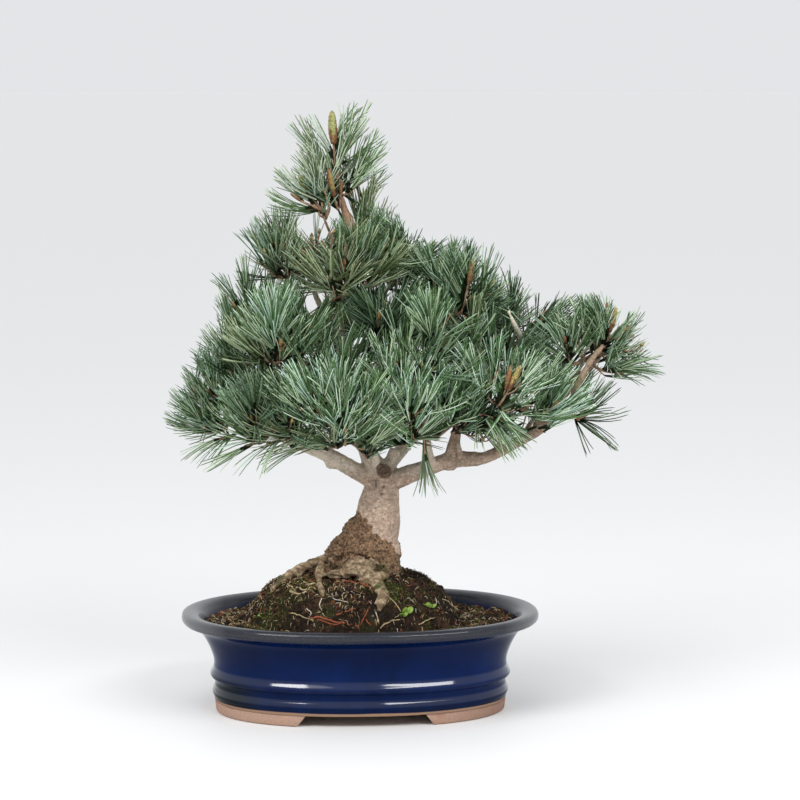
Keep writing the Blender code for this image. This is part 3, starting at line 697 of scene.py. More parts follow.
class SoilSettings(bpy.types.PropertyGroup):
    colour: FloatVectorProperty(
        name="Soil",
        description="Colour of the moist soil",
        subtype="COLOR",
        default=(0.0125, 0.0078, 0.0052),
    )
    crumbs: IntProperty(name="Crumbs", description="Loose crumbs on the mound", default=5000, min=0)
    fibres: IntProperty(name="Fibres", description="Dry root fibres on the mound", default=2300, min=0)
    moss: IntProperty(name="Moss", description="Tufts of moss on the mound", default=2600, min=0)


class StudioSettings(bpy.types.PropertyGroup):
    floor: FloatVectorProperty(
        name="Floor", description="Colour of the floor", subtype="COLOR", default=(0.75, 0.75, 0.75)
    )
    sky: FloatProperty(name="Sky", description="Strength of the light all round", default=0.80, min=0.0)
    sun: FloatProperty(name="Sun", description="Strength of the even light from above", default=1.0, min=0.0)
    key: FloatProperty(name="Key", description="Power of the two soft boxes", default=22.0, unit="POWER")


class Wire:
    """A number that comes out of a node. Arithmetic on it adds the Math nodes that work it out."""

    def __init__(self, finish, socket):
        self.finish = finish
        self.socket = socket

    def calculate(self, operation, first, second=0.0, clamp=False):
        settings = {"operation": operation, "use_clamp": clamp}
        node = self.finish.add("ShaderNodeMath", settings, {0: first, 1: second})
        return Wire(self.finish, node.outputs[0])

    def __add__(self, other):
        return self.calculate("ADD", self, other)

    __radd__ = __add__

    def __sub__(self, other):
        return self.calculate("SUBTRACT", self, other)

    def __rsub__(self, other):
        return self.calculate("SUBTRACT", other, self)

    def __mul__(self, other):
        return self.calculate("MULTIPLY", self, other)

    __rmul__ = __mul__

    def __abs__(self):
        return self.calculate("ABSOLUTE", self)

    def at_least(self, other):
        return self.calculate("MAXIMUM", self, other)

    def between(self, low, high):
        """0 below low, 1 above high and a straight ramp between them."""
        return self.calculate("MULTIPLY", self - low, 1.0 / (high - low), clamp=True)


class Finish:
    """One material under construction round its Principled shader."""

    def __init__(self, name, colour, roughness, constants=None):
        self.material = bpy.data.materials.new(name)
        self.material.use_nodes = True
        self.nodes = self.material.node_tree.nodes
        self.links = self.material.node_tree.links
        self.shader = self.nodes["Principled BSDF"]
        self.material.diffuse_color = (*colour, 1.0)
        self.set("Base Color", colour)
        self.set("Roughness", roughness)
        for socket, value in (constants or {}).items():
            self.set(socket, value)

    def fill(self, socket, value):
        """Gives a socket a link, a number or a colour."""
        if isinstance(value, Wire):
            value = value.socket
        if isinstance(value, bpy.types.NodeSocket):
            self.links.new(value, socket)
        elif socket.type == "RGBA":
            socket.default_value = (*tuple(value)[:3], 1.0)
        else:
            socket.default_value = value

    def set(self, name, value):
        self.fill(self.shader.inputs[name], value)

    def add(self, kind, settings=None, sockets=None):
        """A node of that kind with its settings, and with its sockets filled."""
        node = self.nodes.new(kind)
        for name, value in (settings or {}).items():
            setattr(node, name, value)
        for name, value in (sockets or {}).items():
            self.fill(node.inputs[name], value)
        return node

    def place(self):
        """Object coordinates."""
        if not hasattr(self, "coordinates"):
            self.coordinates = self.add("ShaderNodeTexCoord").outputs["Object"]
        return self.coordinates

    def axis(self, letter):
        return Wire(self, self.add("ShaderNodeSeparateXYZ", sockets={0: self.place()}).outputs[letter])

    def across(self):
        """How far right of the pot's middle a place is, in metres."""
        return self.axis("X") - SHIFT.x

    def height(self):
        return self.axis("Z")

    def stretched(self, scale):
        sockets = {"Vector": self.place(), "Scale": scale}
        return self.add("ShaderNodeMapping", sockets=sockets).outputs["Vector"]

    def warped(self, scale, amount):
        """Object coordinates bent about by a noise, so that a pattern read there isn't regular."""
        bends = self.add("ShaderNodeTexNoise", sockets={"Vector": self.place(), "Scale": scale})
        sockets = {0: bends.outputs["Color"], 1: (amount, amount, amount), 2: self.place()}
        return self.add("ShaderNodeVectorMath", {"operation": "MULTIPLY_ADD"}, sockets).outputs[0]

    def noise(self, scale, detail=4.0, rough=0.55, vector=None):
        sockets = {"Vector": vector or self.place(), "Scale": scale, "Detail": detail, "Roughness": rough}
        return Wire(self, self.add("ShaderNodeTexNoise", sockets=sockets).outputs[0])

    def cells(self, scale, feature="F1", vector=None):
        sockets = {"Vector": vector or self.place(), "Scale": scale}
        return Wire(self, self.add("ShaderNodeTexVoronoi", {"feature": feature}, sockets).outputs["Distance"])

    def attribute(self, name):
        return Wire(self, self.add("ShaderNodeAttribute", {"attribute_name": name}).outputs["Fac"])

    def mix(self, factor, first, second):
        sockets = {0: factor, 6: first, 7: second}
        return self.add("ShaderNodeMix", {"data_type": "RGBA"}, sockets).outputs[2]

    def layered(self, colour, *layers):
        """A colour with every layer, a share and its own colour, laid over it in turn."""
        for share, layer in layers:
            colour = self.mix(share, colour, layer)
        return colour

    def bump(self, height, distance, strength=1.0):
        sockets = {"Height": height, "Distance": distance, "Strength": strength}
        self.set("Normal", self.add("ShaderNodeBump", sockets=sockets).outputs["Normal"])


def linear(colour):
    """A colour given as screen values from 0 to 255, as the shader wants it."""
    return tuple(((value / 255 + 0.055) / 1.055) ** 2.4 for value in colour)


def clamped(value):
    return max(0.0, min(1.0, value))


def tinted(colour, tint):
    return tuple(min(1.0, channel * part) for channel, part in zip(colour, tint))


def shaded(colour, factor):
    return tinted(colour, (factor, factor, factor))


def needle_finish(name, colour):
    """Plain colour that drifts a little from place to place."""
    finish = Finish(name, colour, 0.5, {"Specular IOR Level": 0.28})
    drift = finish.noise(38.0, 2.0)
    finish.set("Base Color", finish.mix(drift.between(0.3, 0.7), shaded(colour, 0.80), shaded(colour, 1.16)))
    return finish.material


def twig_finish():
    finish = Finish("young_twig", (0.30, 0.14, 0.06), 0.7)
    grain = finish.noise(420.0, 3.0)
    colour = finish.layered(
        (0.13, 0.075, 0.042),
        (finish.noise(60.0).between(0.35, 0.65), (0.29, 0.155, 0.08)),
        (grain.between(0.4, 0.7), (0.38, 0.26, 0.17)),
    )
    finish.set("Base Color", colour)
    finish.bump(grain, 0.0004, 0.6)
    return finish.material


def candle_finish(name, colour):
    """Papery scales: darker edges round small cells, with green and brown patches."""
    finish = Finish("candle_" + name, colour, 0.5)
    scales = finish.cells(620.0)
    patchy = finish.layered(
        shaded(colour, 1.25),
        (scales.between(0.1, 0.75), shaded(colour, 0.5)),
        (finish.noise(260.0).between(0.50, 0.62) * 0.7, (0.26, 0.27, 0.09)),
        (finish.noise(190.0).between(0.52, 0.68), (0.24, 0.095, 0.035)),
    )
    finish.set("Base Color", patchy)
    finish.bump(1.0 - scales, 0.0005, 0.7)
    return finish.material


def bark_finish(settings):
    """Smooth mottled bark above, crusty bark below, pale roots, and a ringed scar at the fork, with painted
    light round the fork and painted shade in the pits.
    """
    pale, dark = tuple(settings.pale), tuple(settings.dark)
    finish = Finish("bark", pale, 0.85, {"Specular IOR Level": 0.25})
    old, root, scar, pit, moss = (finish.attribute(name) for name in BARK_MARKS)
    height, across = finish.height(), finish.across()
    specks = finish.noise(700.0, 3.0, 0.7)
    crust = finish.noise(430.0, 6.0, 0.75)
    mottle = finish.noise(250.0, 6.0, 0.75, finish.stretched((1.0, 1.0, 1.5)))
    hollows = 1.0 - finish.noise(170.0, 3.0).between(0.36, 0.50)
    lichen = finish.noise(95.0, 4.0).between(0.52, 0.68) * height.between(0.165, 0.195)
    # fork: the bark round the fork painted lighter, a painted light against the crown's shade there
    fork = height.between(0.198, 0.212) * (1.0 - across.between(0.045, 0.075))
    plates = finish.cells(210.0, "DISTANCE_TO_EDGE", finish.warped(160.0, 0.006))
    cracks = (1.0 - plates.between(0.0, 0.10)) * finish.noise(120.0, 3.0).between(0.45, 0.65)
    young = finish.layered(
        shaded(pale, 0.68),
        (finish.noise(48.0, 4.0).between(0.32, 0.66), shaded(pale, 1.16)),
        (lichen * 0.55, (0.33, 0.34, 0.25)),
        ((1.0 - mottle.between(0.38, 0.50)) * 0.8, shaded(pale, 0.38)),
        (mottle.between(0.53, 0.64) * 0.75, shaded(pale, 1.55)),
        # painted light round the fork
        (fork * 0.55, (0.82, 0.76, 0.62)),
        (across.between(0.07, 0.13) * 0.45, (0.17, 0.11, 0.075)),
        (height.between(0.36, 0.42) * 0.8, (0.28, 0.135, 0.065)),
        (finish.noise(130.0, 3.0).between(0.50, 0.66) * 0.25, (0.36, 0.22, 0.15)),
        (cracks * 0.6, shaded(pale, 0.26)),
        (specks.between(0.58, 0.68) * 0.75, (0.13, 0.08, 0.05)),
    )
    ancient = finish.layered(
        shaded(dark, 0.22),
        (crust.between(0.41, 0.57), shaded(dark, 1.8)),
        (specks.between(0.53, 0.62) * 0.7, (0.43, 0.285, 0.175)),
        (hollows * 0.55, shaded(dark, 0.22)),
    )
    wood = finish.layered(
        (0.075, 0.048, 0.027),
        (mottle.between(0.40, 0.60), (0.46, 0.35, 0.225)),
        (finish.noise(150.0, 3.0).between(0.47, 0.62) * 0.7, (0.15, 0.088, 0.047)),
        (hollows * 0.75, (0.07, 0.046, 0.028)),
    )
    rings = finish.mix(crust.between(0.35, 0.60), (0.085, 0.052, 0.035), (0.24, 0.165, 0.115))
    colour = finish.layered(
        young,
        ((old + (crust - 0.5) * 1.2).between(0.3, 0.6), ancient),
        (root, wood),
        (scar, rings),
        # pits painted near black: painted shade in the hollows
        (pit * 0.85, (0.06, 0.036, 0.024)),
        (moss * finish.noise(120.0, 4.0).between(0.40, 0.60), (0.048, 0.058, 0.016)),
    )
    finish.set("Base Color", colour)
    finish.bump(specks * 0.4 + crust * (old * 0.9 + 0.3) + mottle * 0.4, 0.0014, 0.9)
    return finish.material


def glaze_finish(settings):
    """Deep blue glaze, glossy where it pools on the ridges, grey over the rim, none at the very foot. A
    painted dark reflection low on the wall, and worn glaze with a painted highlight at the rim's ends.
    """
    thick, thin = tuple(settings.glaze), tuple(settings.thin)
    finish = Finish("blue_glaze", thick, 0.12, {"Specular IOR Level": 0.03, "Coat Roughness": 0.085})
    height, across = finish.height(), finish.across()
    clouds = finish.noise(14.0, 4.0)
    runs = finish.noise(60.0, 5.0, 0.6, finish.stretched((1.0, 1.0, 0.25)))
    speckle = finish.noise(900.0, 2.0).between(0.55, 0.72)
    # low: the wall darker in patches towards its foot, a painted dark reflection
    low = (1.0 - height.between(0.012, 0.030)) * clouds.between(0.35, 0.60)
    # The lower left end of the wall darker still, a painted dark reflection
    painted_reflection_left = (across * -1.0).between(0.082, 0.108) * (1.0 - height.between(0.028, 0.040))
    rim = (height + (clouds - 0.5) * 0.006).between(0.0735, 0.0790)
    # Light grey on the rim's ends: partly worn, thin glaze, partly a painted highlight
    rim_end_wear_and_highlight = rim * abs(across).between(0.115, 0.150)
    ridge = (1.0 - abs(height - 0.0304).between(0.0004, 0.0018)) * 0.35
    thinned = rim.at_least(ridge * runs.between(0.3, 0.6))
    bare = 1.0 - (height + (clouds - 0.5) * 0.002).between(0.0112, 0.0120)
    colour = finish.layered(
        shaded(thick, 0.62),
        (clouds.between(0.34, 0.68), shaded(thick, 1.25)),
        (runs.between(0.45, 0.80) * 0.35, (0.002, 0.020, 0.105)),
        (height.between(0.044, 0.064) * 0.45, (0.0008, 0.0045, 0.026)),
        # painted dark reflection low on the wall
        (low * 0.8, (0.003, 0.006, 0.014)),
        # painted dark reflection at the lower left
        (painted_reflection_left * clouds.between(0.30, 0.42) * 0.85, (0.004, 0.007, 0.008)),
        (thinned, finish.mix(speckle, thin, shaded(thin, 2.2))),
        # worn glaze and a painted highlight on the rim's ends
        (rim_end_wear_and_highlight * speckle.at_least(0.6), (0.20, 0.20, 0.205)),
        (bare, (0.30, 0.19, 0.125)),
    )
    finish.set("Base Color", colour)
    upper_ridge = height.between(0.0315, 0.0335) * (1.0 - height.between(0.0375, 0.0395))
    lower_ridge = height.between(0.0165, 0.0180) * (1.0 - height.between(0.0215, 0.0230))
    pooled = upper_ridge.at_least(lower_ridge)
    finish.set("Coat Weight", (pooled * 0.8 + 0.08).at_least(rim * 0.55) * (1.0 - bare))
    finish.set("Roughness", thinned * 0.16 + 0.12 + bare * 0.6)
    pinholes = 1.0 - finish.cells(170.0).between(0.0, 0.06)
    finish.bump(finish.noise(30.0, 2.0) - pinholes * 0.5, 0.0006, 0.35)
    return finish.material


def clay_finish(settings):
    clay = tuple(settings.clay)
    finish = Finish("bare_clay", clay, 0.9, {"Specular IOR Level": 0.2})
    grit = finish.noise(900.0, 4.0, 0.7)
    stains = finish.noise(70.0, 4.0)
    edge = (finish.height() + (stains - 0.5) * 0.003).between(0.0078, 0.0092)
    colour = finish.layered(
        shaded(clay, 0.8),
        (grit.between(0.4, 0.65), shaded(clay, 1.12)),
        (stains.between(0.52, 0.72), (0.33, 0.17, 0.12)),
        (finish.across().between(0.05, 0.11) * 0.6, (0.20, 0.115, 0.082)),
        (edge * 0.75, (0.16, 0.10, 0.085)),
    )
    finish.set("Base Color", colour)
    finish.bump(grit, 0.0004, 0.6)
    return finish.material


def soil_finish(settings):
    soil = tuple(settings.colour)
    finish = Finish("moist_soil", soil, 0.92, {"Specular IOR Level": 0.12})
    crumbs = finish.noise(330.0, 8.0, 0.75)
    patches = finish.noise(60.0, 5.0, 0.65)
    green = finish.attribute("moss") * patches.between(0.38, 0.52)
    colour = finish.layered(
        shaded(soil, 0.35),
        (crumbs.between(0.38, 0.66), shaded(soil, 2.3)),
        (patches.between(0.50, 0.68) * 0.7, (0.085, 0.045, 0.026)),
        (green * 0.7, (0.040, 0.055, 0.014)),
    )
    finish.set("Base Color", colour)
    finish.bump(crumbs + patches * 0.6, 0.0022, 1.0)
    return finish.material


def grain_finish(name, colour, roughness=0.85):
    finish = Finish(name, colour, roughness, {"Specular IOR Level": 0.12})
    grain = finish.noise(500.0, 4.0, 0.65)
    shades = shaded(colour, 0.62), shaded(colour, 1.35)
    finish.set("Base Color", finish.mix(grain.between(0.35, 0.68), *shades))
    finish.bump(grain, 0.0003, 0.5)
    return finish.material


def linked(name, data):
    """An object of the scene that shows the data."""
    made = bpy.data.objects.new(name, data)
    bpy.context.scene.collection.objects.link(made)
    return made


def add_piece(name, mesh, materials, stands_for=()):
    """Moves the planned mesh to its place in the frame and hands it to the frame."""
    mesh.transform(Matrix.Translation(SHIFT))
    mesh.name = name
    for material in materials:
        mesh.materials.append(material)
    mesh.shade_smooth()
    piece = linked(name, mesh)
    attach(piece, "root")
    if stands_for:
        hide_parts(*stands_for)


def loft(bm, rings):
    """One closed body through rings of equally many points."""
    end = bm.faces.new([bm.verts.new(point) for point in rings[0]])
    first = list(end.verts)
    for ring in rings[1:]:
        end = bmesh.ops.extrude_discrete_faces(bm, faces=[end])["faces"][0]
        for vert, point in zip(end.verts, ring):
            vert.co = point
    bm.faces.new(reversed(first))
    bmesh.ops.recalc_face_normals(bm, faces=bm.faces)


def mesh_of(bm, name="made"):
    mesh = bpy.data.meshes.new(name)
    bm.to_mesh(mesh)
    bm.free()
    return mesh


def absorb(bm, mesh):
    """Adds a mesh to a bmesh and then removes it from the file."""
    bm.from_mesh(mesh)
    bpy.data.meshes.remove(mesh)


def shown_mesh(holder):
    """The mesh that an object shows with its modifiers. The object itself is removed."""
    bpy.context.view_layer.update()
    evaluated = holder.evaluated_get(bpy.context.evaluated_depsgraph_get())
    mesh = bpy.data.meshes.new_from_object(evaluated)
    bpy.data.objects.remove(holder, do_unlink=True)
    return mesh


def add_spike(bm, foot, tip, length, lean=0.0, turn=0.0):
    """A three-sided spike up from the origin, leaned over and then turned about +Z, in radians."""
    made = bmesh.ops.create_cone(
        bm, cap_ends=True, segments=3, radius1=foot, radius2=tip, depth=length
    )["verts"]
    bmesh.ops.translate(bm, vec=(0.0, 0.0, length / 2), verts=made)
    turned = Matrix.Rotation(turn, 3, "Z") @ Matrix.Rotation(lean, 3, "X")
    bmesh.ops.rotate(bm, cent=(0, 0, 0), matrix=turned, verts=made)


def tubes_mesh(routes, sides):
    """Closed round tubes along routes of (point, radius), in one mesh."""
    curve = bpy.data.curves.new("tubes", "CURVE")
    curve.dimensions = "3D"
    curve.bevel_depth = 1.0
    curve.bevel_resolution = (sides - 4) // 2
    curve.use_fill_caps = True
    for route in routes:
        spline = curve.splines.new("POLY")
        spline.points.add(len(route) - 1)
        for point, (place, radius) in zip(spline.points, route):
            point.co = (*place, 1.0)
            point.radius = radius
    bm = bmesh.new()
    absorb(bm, shown_mesh(linked("tubes", curve)))
    bpy.data.curves.remove(curve)
    bmesh.ops.remove_doubles(bm, verts=bm.verts, dist=0.002 * MM)
    bmesh.ops.recalc_face_normals(bm, faces=bm.faces)
    return mesh_of(bm)


def template_of(bm):
    """A bmesh as arrays: places of its vertices, its triangles and their material numbers."""
    bmesh.ops.triangulate(bm, faces=bm.faces)
    bm.verts.index_update()
    verts = np.array([vert.co for vert in bm.verts])
    tris = np.array([[vert.index for vert in face.verts] for face in bm.faces])
    kinds = np.array([face.material_index for face in bm.faces])
    bm.free()
    return verts, tris, kinds


def turned_frames(axes, rolls):
    """For each axis, the rotation that takes +Z to it and then rolls about it."""
    axes = axes / np.linalg.norm(axes, axis=1, keepdims=True)
    level = np.where(np.abs(axes[:, 2:3]) < 0.9999, [[0.0, 0.0, 1.0]], [[1.0, 0.0, 0.0]])
    side = np.cross(level, axes)
    side /= np.linalg.norm(side, axis=1, keepdims=True)
    other = np.cross(axes, side)
    cosine, sine = np.cos(rolls)[:, None], np.sin(rolls)[:, None]
    return np.stack([side * cosine + other * sine, other * cosine - side * sine, axes], axis=2)


def scatter(templates, rows):
    """Copies of the templates as one mesh. A row is a copy's place, axis, roll, size and template."""
    table = np.array(rows)
    places, kinds = table[:, :3], table[:, 8]
    frames = turned_frames(table[:, 3:6], table[:, 6]) * table[:, 7, None, None]
    all_verts, all_tris, all_marks, start = [], [], [], 0
    for number, (verts, tris, marks) in enumerate(templates):
        chosen = np.flatnonzero(kinds == number)
        moved = np.einsum("nij,vj->nvi", frames[chosen], verts) + places[chosen, None]
        offsets = start + np.arange(len(chosen)) * len(verts)
        all_verts.append(moved.reshape(-1, 3))
        all_tris.append((tris[None] + offsets[:, None, None]).reshape(-1, 3))
        all_marks.append(np.tile(marks, len(chosen)))
        start += len(chosen) * len(verts)
    mesh = bpy.data.meshes.new("scattered")
    mesh.from_pydata(np.concatenate(all_verts), [], np.concatenate(all_tris))
    mesh.polygons.foreach_set("material_index", np.concatenate(all_marks).astype(np.int32))
    mesh.update()
    return mesh


def spline_steps(points, before, after, step):
    """Number of the span, share along it and point, on a smooth curve, about one step apart."""
    padded = [before, *points, after]
    yield 0, 0.0, points[0]
    for span, (first, start, end, last) in enumerate(zip(padded, padded[1:], padded[2:], padded[3:])):
        count = max(1, round((end - start).length / step))
        for index in range(1, count + 1):
            t = index / count
            weights = (
                (-t + 2 * t * t - t**3) / 2,
                (2 - 5 * t * t + 3 * t**3) / 2,
                (t + 4 * t * t - 3 * t**3) / 2,
                (t**3 - t * t) / 2,
            )
            yield span, t, sum((w * p for w, p in zip(weights, (first, start, end, last))), Vector())


def curve_through(points, step):
    """Points on a smooth curve through the given ones that leaves its ends straight."""
    ends = points[0] * 2 - points[1], points[-1] * 2 - points[-2]
    return [point for _, _, point in spline_steps(points, *ends, step)]


def smooth_route(stations, step):
    """Points with radii on a smooth curve through stations in millimetres, about one step apart."""
    points = [Vector(station[:3]) * MM for station in stations]
    radii = [station[3] * MM for station in stations]
    steps = spline_steps(points, points[0], points[-1], step)
    return [(point, radii[span] + (radii[span + 1] - radii[span]) * t) for span, t, point in steps]


def tapered(points, radii):
    """A route along the points, whose radius goes evenly from one to the other, in millimetres."""
    widths = np.linspace(radii[0] * MM, radii[1] * MM, len(points))
    return list(zip(points, widths.tolist()))


def front_route(line, radii, step):
    """A route through places given as seen from the front."""
    return tapered(curve_through([from_front(*spot) for spot in line], step), radii)


def knotted(route, share, scale):
    """The route with knots and thinner stretches."""
    return [(point, radius * (1.0 + share * noise.noise(point * scale))) for point, radius in route]


def route_point(route, share):
    """The point and radius at a share of the route's length."""
    lengths = [(b[0] - a[0]).length for a, b in zip(route, route[1:])]
    left = share * sum(lengths)
    for (start, end), length in zip(zip(route, route[1:]), lengths):
        if left <= length:
            t = left / length
            return start[0].lerp(end[0], t), start[1] + (end[1] - start[1]) * t
        left -= length
    return route[-1]


def bough_route(parent, share, centre, step):
    """A bough from inside its parent to the place where it enters the mass round the centre."""
    start, parent_radius = route_point(parent, share)
    run = centre - start
    outward = Vector((run.x, run.y, 0.0)).normalized()
    arrive = (run.normalized() + UP * BOUGH_ARRIVE_RISE).normalized()
    entry = centre - arrive * ENTRY_BEFORE_CENTRE
    length = (entry - start).length
    handle_a = start + (outward + UP * BOUGH_LEAVE_RISE).normalized() * length * BOUGH_HANDLES[0]
    handle_b = entry - arrive * length * BOUGH_HANDLES[1]
    first = max(BOUGH_START_LEAST, parent_radius * BOUGH_START_SHARE)
    count = max(3, round(length / step))
    route = []
    for index in range(count + 1):
        t = index / count
        s = 1 - t
        point = start * s**3 + handle_a * 3 * s * s * t + handle_b * 3 * s * t * t + entry * t**3
        route.append((point, first + (BOUGH_END_RADIUS - first) * t))
    return route


def plan_limbs(trunk_step, bough_step):
    """Every limb's route by name, and for each mass the limb whose tip carries it."""
    limbs = {"trunk": smooth_route(TRUNK_STATIONS, trunk_step)}
    for name, stations in MAIN_BOUGHS.items():
        limbs[name] = smooth_route(stations, bough_step)
    carriers = {}
    for name, (centre, _, _, carrier, share) in MASSES.items():
        if share == 1.0:
            carriers[name] = carrier
            continue
        bough = "bough_" + name
        limbs[bough] = bough_route(limbs[carrier], share, Vector(centre) * MM, bough_step)
        carriers[name] = bough
    return limbs, carriers


class Room:
    """The space of one mass: nearer its own centre than any other's, and clear of what grows there."""

    def __init__(self, name, limbs):
        self.centre = np.array(MASSES[name][0]) * MM
        self.others = np.array([entry[0] for key, entry in MASSES.items() if key != name]) * MM
        self.spans = np.linalg.norm(self.others - self.centre, axis=1)
        self.spines = np.empty((0, 8))
        for route in limbs.values():
            for (start, radius), (end, _) in zip(route, route[1:]):
                self.fill(start, end, radius, LIMB_OWNER)

    def fill(self, start, end, radius, owner):
        """Takes up the place of one straight piece of a limb or a twig."""
        self.spines = np.vstack([self.spines, [*start, *(end - start), radius, owner]])

    def in_cell(self, points):
        """Whether every point keeps the margin to the planes halfway to the other centres."""
        own = ((points - self.centre) ** 2).sum(axis=1)
        other = ((points[:, None] - self.others) ** 2).sum(axis=2)
        return bool(((other - own[:, None]) / (2 * self.spans) > CELL_MARGIN).all())

    def is_free(self, points, clearance, owner):
        """Whether every point is further than the clearance from all that isn't the owner's own."""
        spines = self.spines[self.spines[:, 7] != owner]
        starts, runs, radii = spines[:, :3], spines[:, 3:6], spines[:, 6]
        offsets = points[:, None] - starts
        shares = (offsets * runs).sum(axis=2) / (runs**2).sum(axis=1)
        nearest = runs * np.clip(shares, 0, 1)[..., None]
        gaps = np.linalg.norm(offsets - nearest, axis=2) - radii
        return bool((gaps > clearance).all())

    def holds(self, start, end, clearance, owner):
        steps = max(2, math.ceil((end - start).length / SAMPLE_STEP))
        points = np.array([start.lerp(end, step / steps) for step in range(steps + 1)])
        return self.in_cell(points) and self.is_free(points, clearance, owner)


def tilted(lead, tilt, turn):
    """The lead direction tilted by one angle and turned about itself by another, in degrees."""
    tilt, turn = math.radians(tilt), math.radians(turn)
    leaning = Vector((math.sin(tilt) * math.cos(turn), math.sin(tilt) * math.sin(turn), math.cos(tilt)))
    return UP.rotation_difference(lead) @ leaning


def plan_shoots(name, carrier, room):
    """The same shoots as the solids have: root, direction there, foot and aim of each, and the lead."""
    place, count, lean = MASSES[name][:3]
    centre = Vector(place) * MM
    rng = random.Random(name)
    tip, before = carrier[-1][0], carrier[-2][0]
    onward = (tip - before).normalized()
    stem_start = tip + onward * GAP
    outward = centre - CROWN_AXIS
    outward.z *= OUTWARD_RISE
    lead = (outward.normalized() + UP * LEAD_RISE).normalized()
    shoots = [(stem_start, onward, centre, lead)]
    room.fill(centre, centre + lead * CORE_LENGTH, CORE_RADIUS, 0)
    for index in range(1, count):
        for _ in range(SHOOT_TRIES):
            turn = GOLDEN_ANGLE * index + rng.uniform(-TURN_JITTER, TURN_JITTER)
            spread = tilted(lead, lean * rng.uniform(*LEAN_SHARES), turn)
            root = stem_start.lerp(centre, rng.uniform(*STEM_SHARES))
            foot = root + spread * lean * TWIG_PER_LEAN * rng.uniform(*TWIG_SHARES)
            aim = (spread + lead * SHOOT_TURN_UP).normalized()
            end = foot + aim * CORE_LENGTH
            if room.holds(root + spread * TWIG_BARE, end, CORE_CLEARANCE, owner=len(shoots)):
                room.fill(foot, end, CORE_RADIUS, len(shoots))
                shoots.append((root, spread, foot, aim))
                break
    return shoots, lead


class Spray:
    """One shoot as it is grown: path, bare share, bundles, tone, how far past the outline, candle."""

    def __init__(self, mass, points, radius, bare, bundles, tone, slack=CROWN_SLACK, candle=None):
        self.mass = mass
        self.path = curve_through(points, TWIG_STEP)
        self.radius = radius
        self.bare = bare
        self.bundles = bundles
        self.tone = tone
        self.slack = slack
        self.candle = candle
        self.size = 1.0
        self.opening = 1.0

    def prune(self):
        """Cuts the path back to the crown's outline. Says whether enough is left."""
        whole = len(self.path)
        while len(self.path) > 3 and not in_outline(self.path[-1], 0.0):
            self.path.pop()
        return len(self.path) > LEAST_LEFT * whole

    def candle_seat(self):
        """Where the candle stands on the tip, and its direction."""
        place, aim = self.at(CANDLE_SEAT)
        return place, (aim + UP * CANDLE_RISE).normalized()

    def share_near(self, place):
        """The share of the path at which it passes a place."""
        nearest = min(range(len(self.path)), key=lambda index: (self.path[index] - place).length)
        return nearest / (len(self.path) - 1)

    def at(self, share):
        """Place and direction at a share of the path."""
        spot = share * (len(self.path) - 1)
        index = min(int(spot), len(self.path) - 2)
        start, end = self.path[index], self.path[index + 1]
        return start.lerp(end, spot - index), (end - start).normalized()


def grow_mass(name, carrier, limbs, settings):
    """Every spray of one mass: the solids' shoots, those that stand out, and finer side shoots."""
    room = Room(name, limbs)
    rng = random.Random(name + " sprays")
    shoots, lead = plan_shoots(name, carrier, room)
    tones = MASS_TONES.get(name, OTHER_TONES).split()
    fullness = MASS_FULLNESS.get(name, 1.0)
    common, fewer = round(settings.bundles * fullness), round(settings.side_bundles * fullness)
    common_radius, feature_radius, side_radius = TWIG_RADII
    stem_start, _, centre, _ = shoots[0]
    sprays = []
    for root, _, foot, aim in shoots:
        wander = tilted(aim, 90, rng.uniform(0, 360)) * rng.uniform(0.5, 1.8) * MM
        end = foot + (aim + UP * CORE_RISE).normalized() * CORE_LENGTH
        points = [root, root.lerp(foot, 0.55) + wander, foot, end]
        sprays.append(Spray(name, points, common_radius, TWIG_BARE_SHARE, common, rng.choice(tones)))
    for foot, tip, tone, bundles, *more in FEATURES.get(name, ()):
        candle, opening = (*more, None, None)[:2]
        foot, tip = from_front(*foot), from_front(*tip)
        root = stem_start.lerp(centre, rng.uniform(*STEM_SHARES))
        whole = round(bundles * settings.front_share)
        slack = FREE_SLACK if opening else FEATURE_SLACK
        spray = Spray(name, [root, foot, tip], feature_radius, 0.0, whole, tone, slack, candle)
        spray.bare = spray.share_near(foot)
        spray.size = FEATURE_SIZE * (DRY_SIZE if tone == "dry" else 1.0)
        spray.opening = opening or 1.0
        sprays.append(spray)
        room.fill(foot, tip, CORE_RADIUS, LIMB_OWNER)
    for parent in list(sprays):
        for _ in range(SIDE_TRIES):
            root, along = parent.at(rng.uniform(*SIDE_SHARES))
            side = tilted(along, rng.uniform(*SIDE_TILT), rng.uniform(-SIDE_SWING, SIDE_SWING))
            foot = root + side * rng.uniform(*SIDE_LENGTH)
            aim = (side + lead * SHOOT_TURN_UP + UP * CORE_RISE).normalized()
            end = foot + aim * SIDE_CORE
            if room.holds(foot, end, SIDE_CLEARANCE, owner=None):
                room.fill(foot, end, CORE_RADIUS, LIMB_OWNER)
                tone = parent.tone if rng.random() < SIDE_SAME_TONE else rng.choice(tones)
                sprays.append(Spray(name, [root, foot, end], side_radius, SIDE_BARE_SHARE, fewer, tone))
                break
    return [spray for spray in sprays if spray.bundles > 1 and spray.prune()]


def needle(length, radius, bend, sway):
    """One closed three-sided needle along +Z, of nearly even width, bent towards +X."""
    bm = bmesh.new()
    add_spike(bm, radius, 0.0, length)
    for cut in NEEDLE_CUTS:
        geometry = [*bm.verts, *bm.edges, *bm.faces]
        bmesh.ops.bisect_plane(bm, geom=geometry, plane_co=(0, 0, length * cut), plane_no=(0, 0, 1))
    for vert in bm.verts:
        share = vert.co.z / length
        if share < 0.99:
            vert.co.xy *= (1.0 - 0.35 * share**3) / (1.0 - share)
        vert.co.x += bend * share * share
        vert.co.y += sway * share * share
    return bm


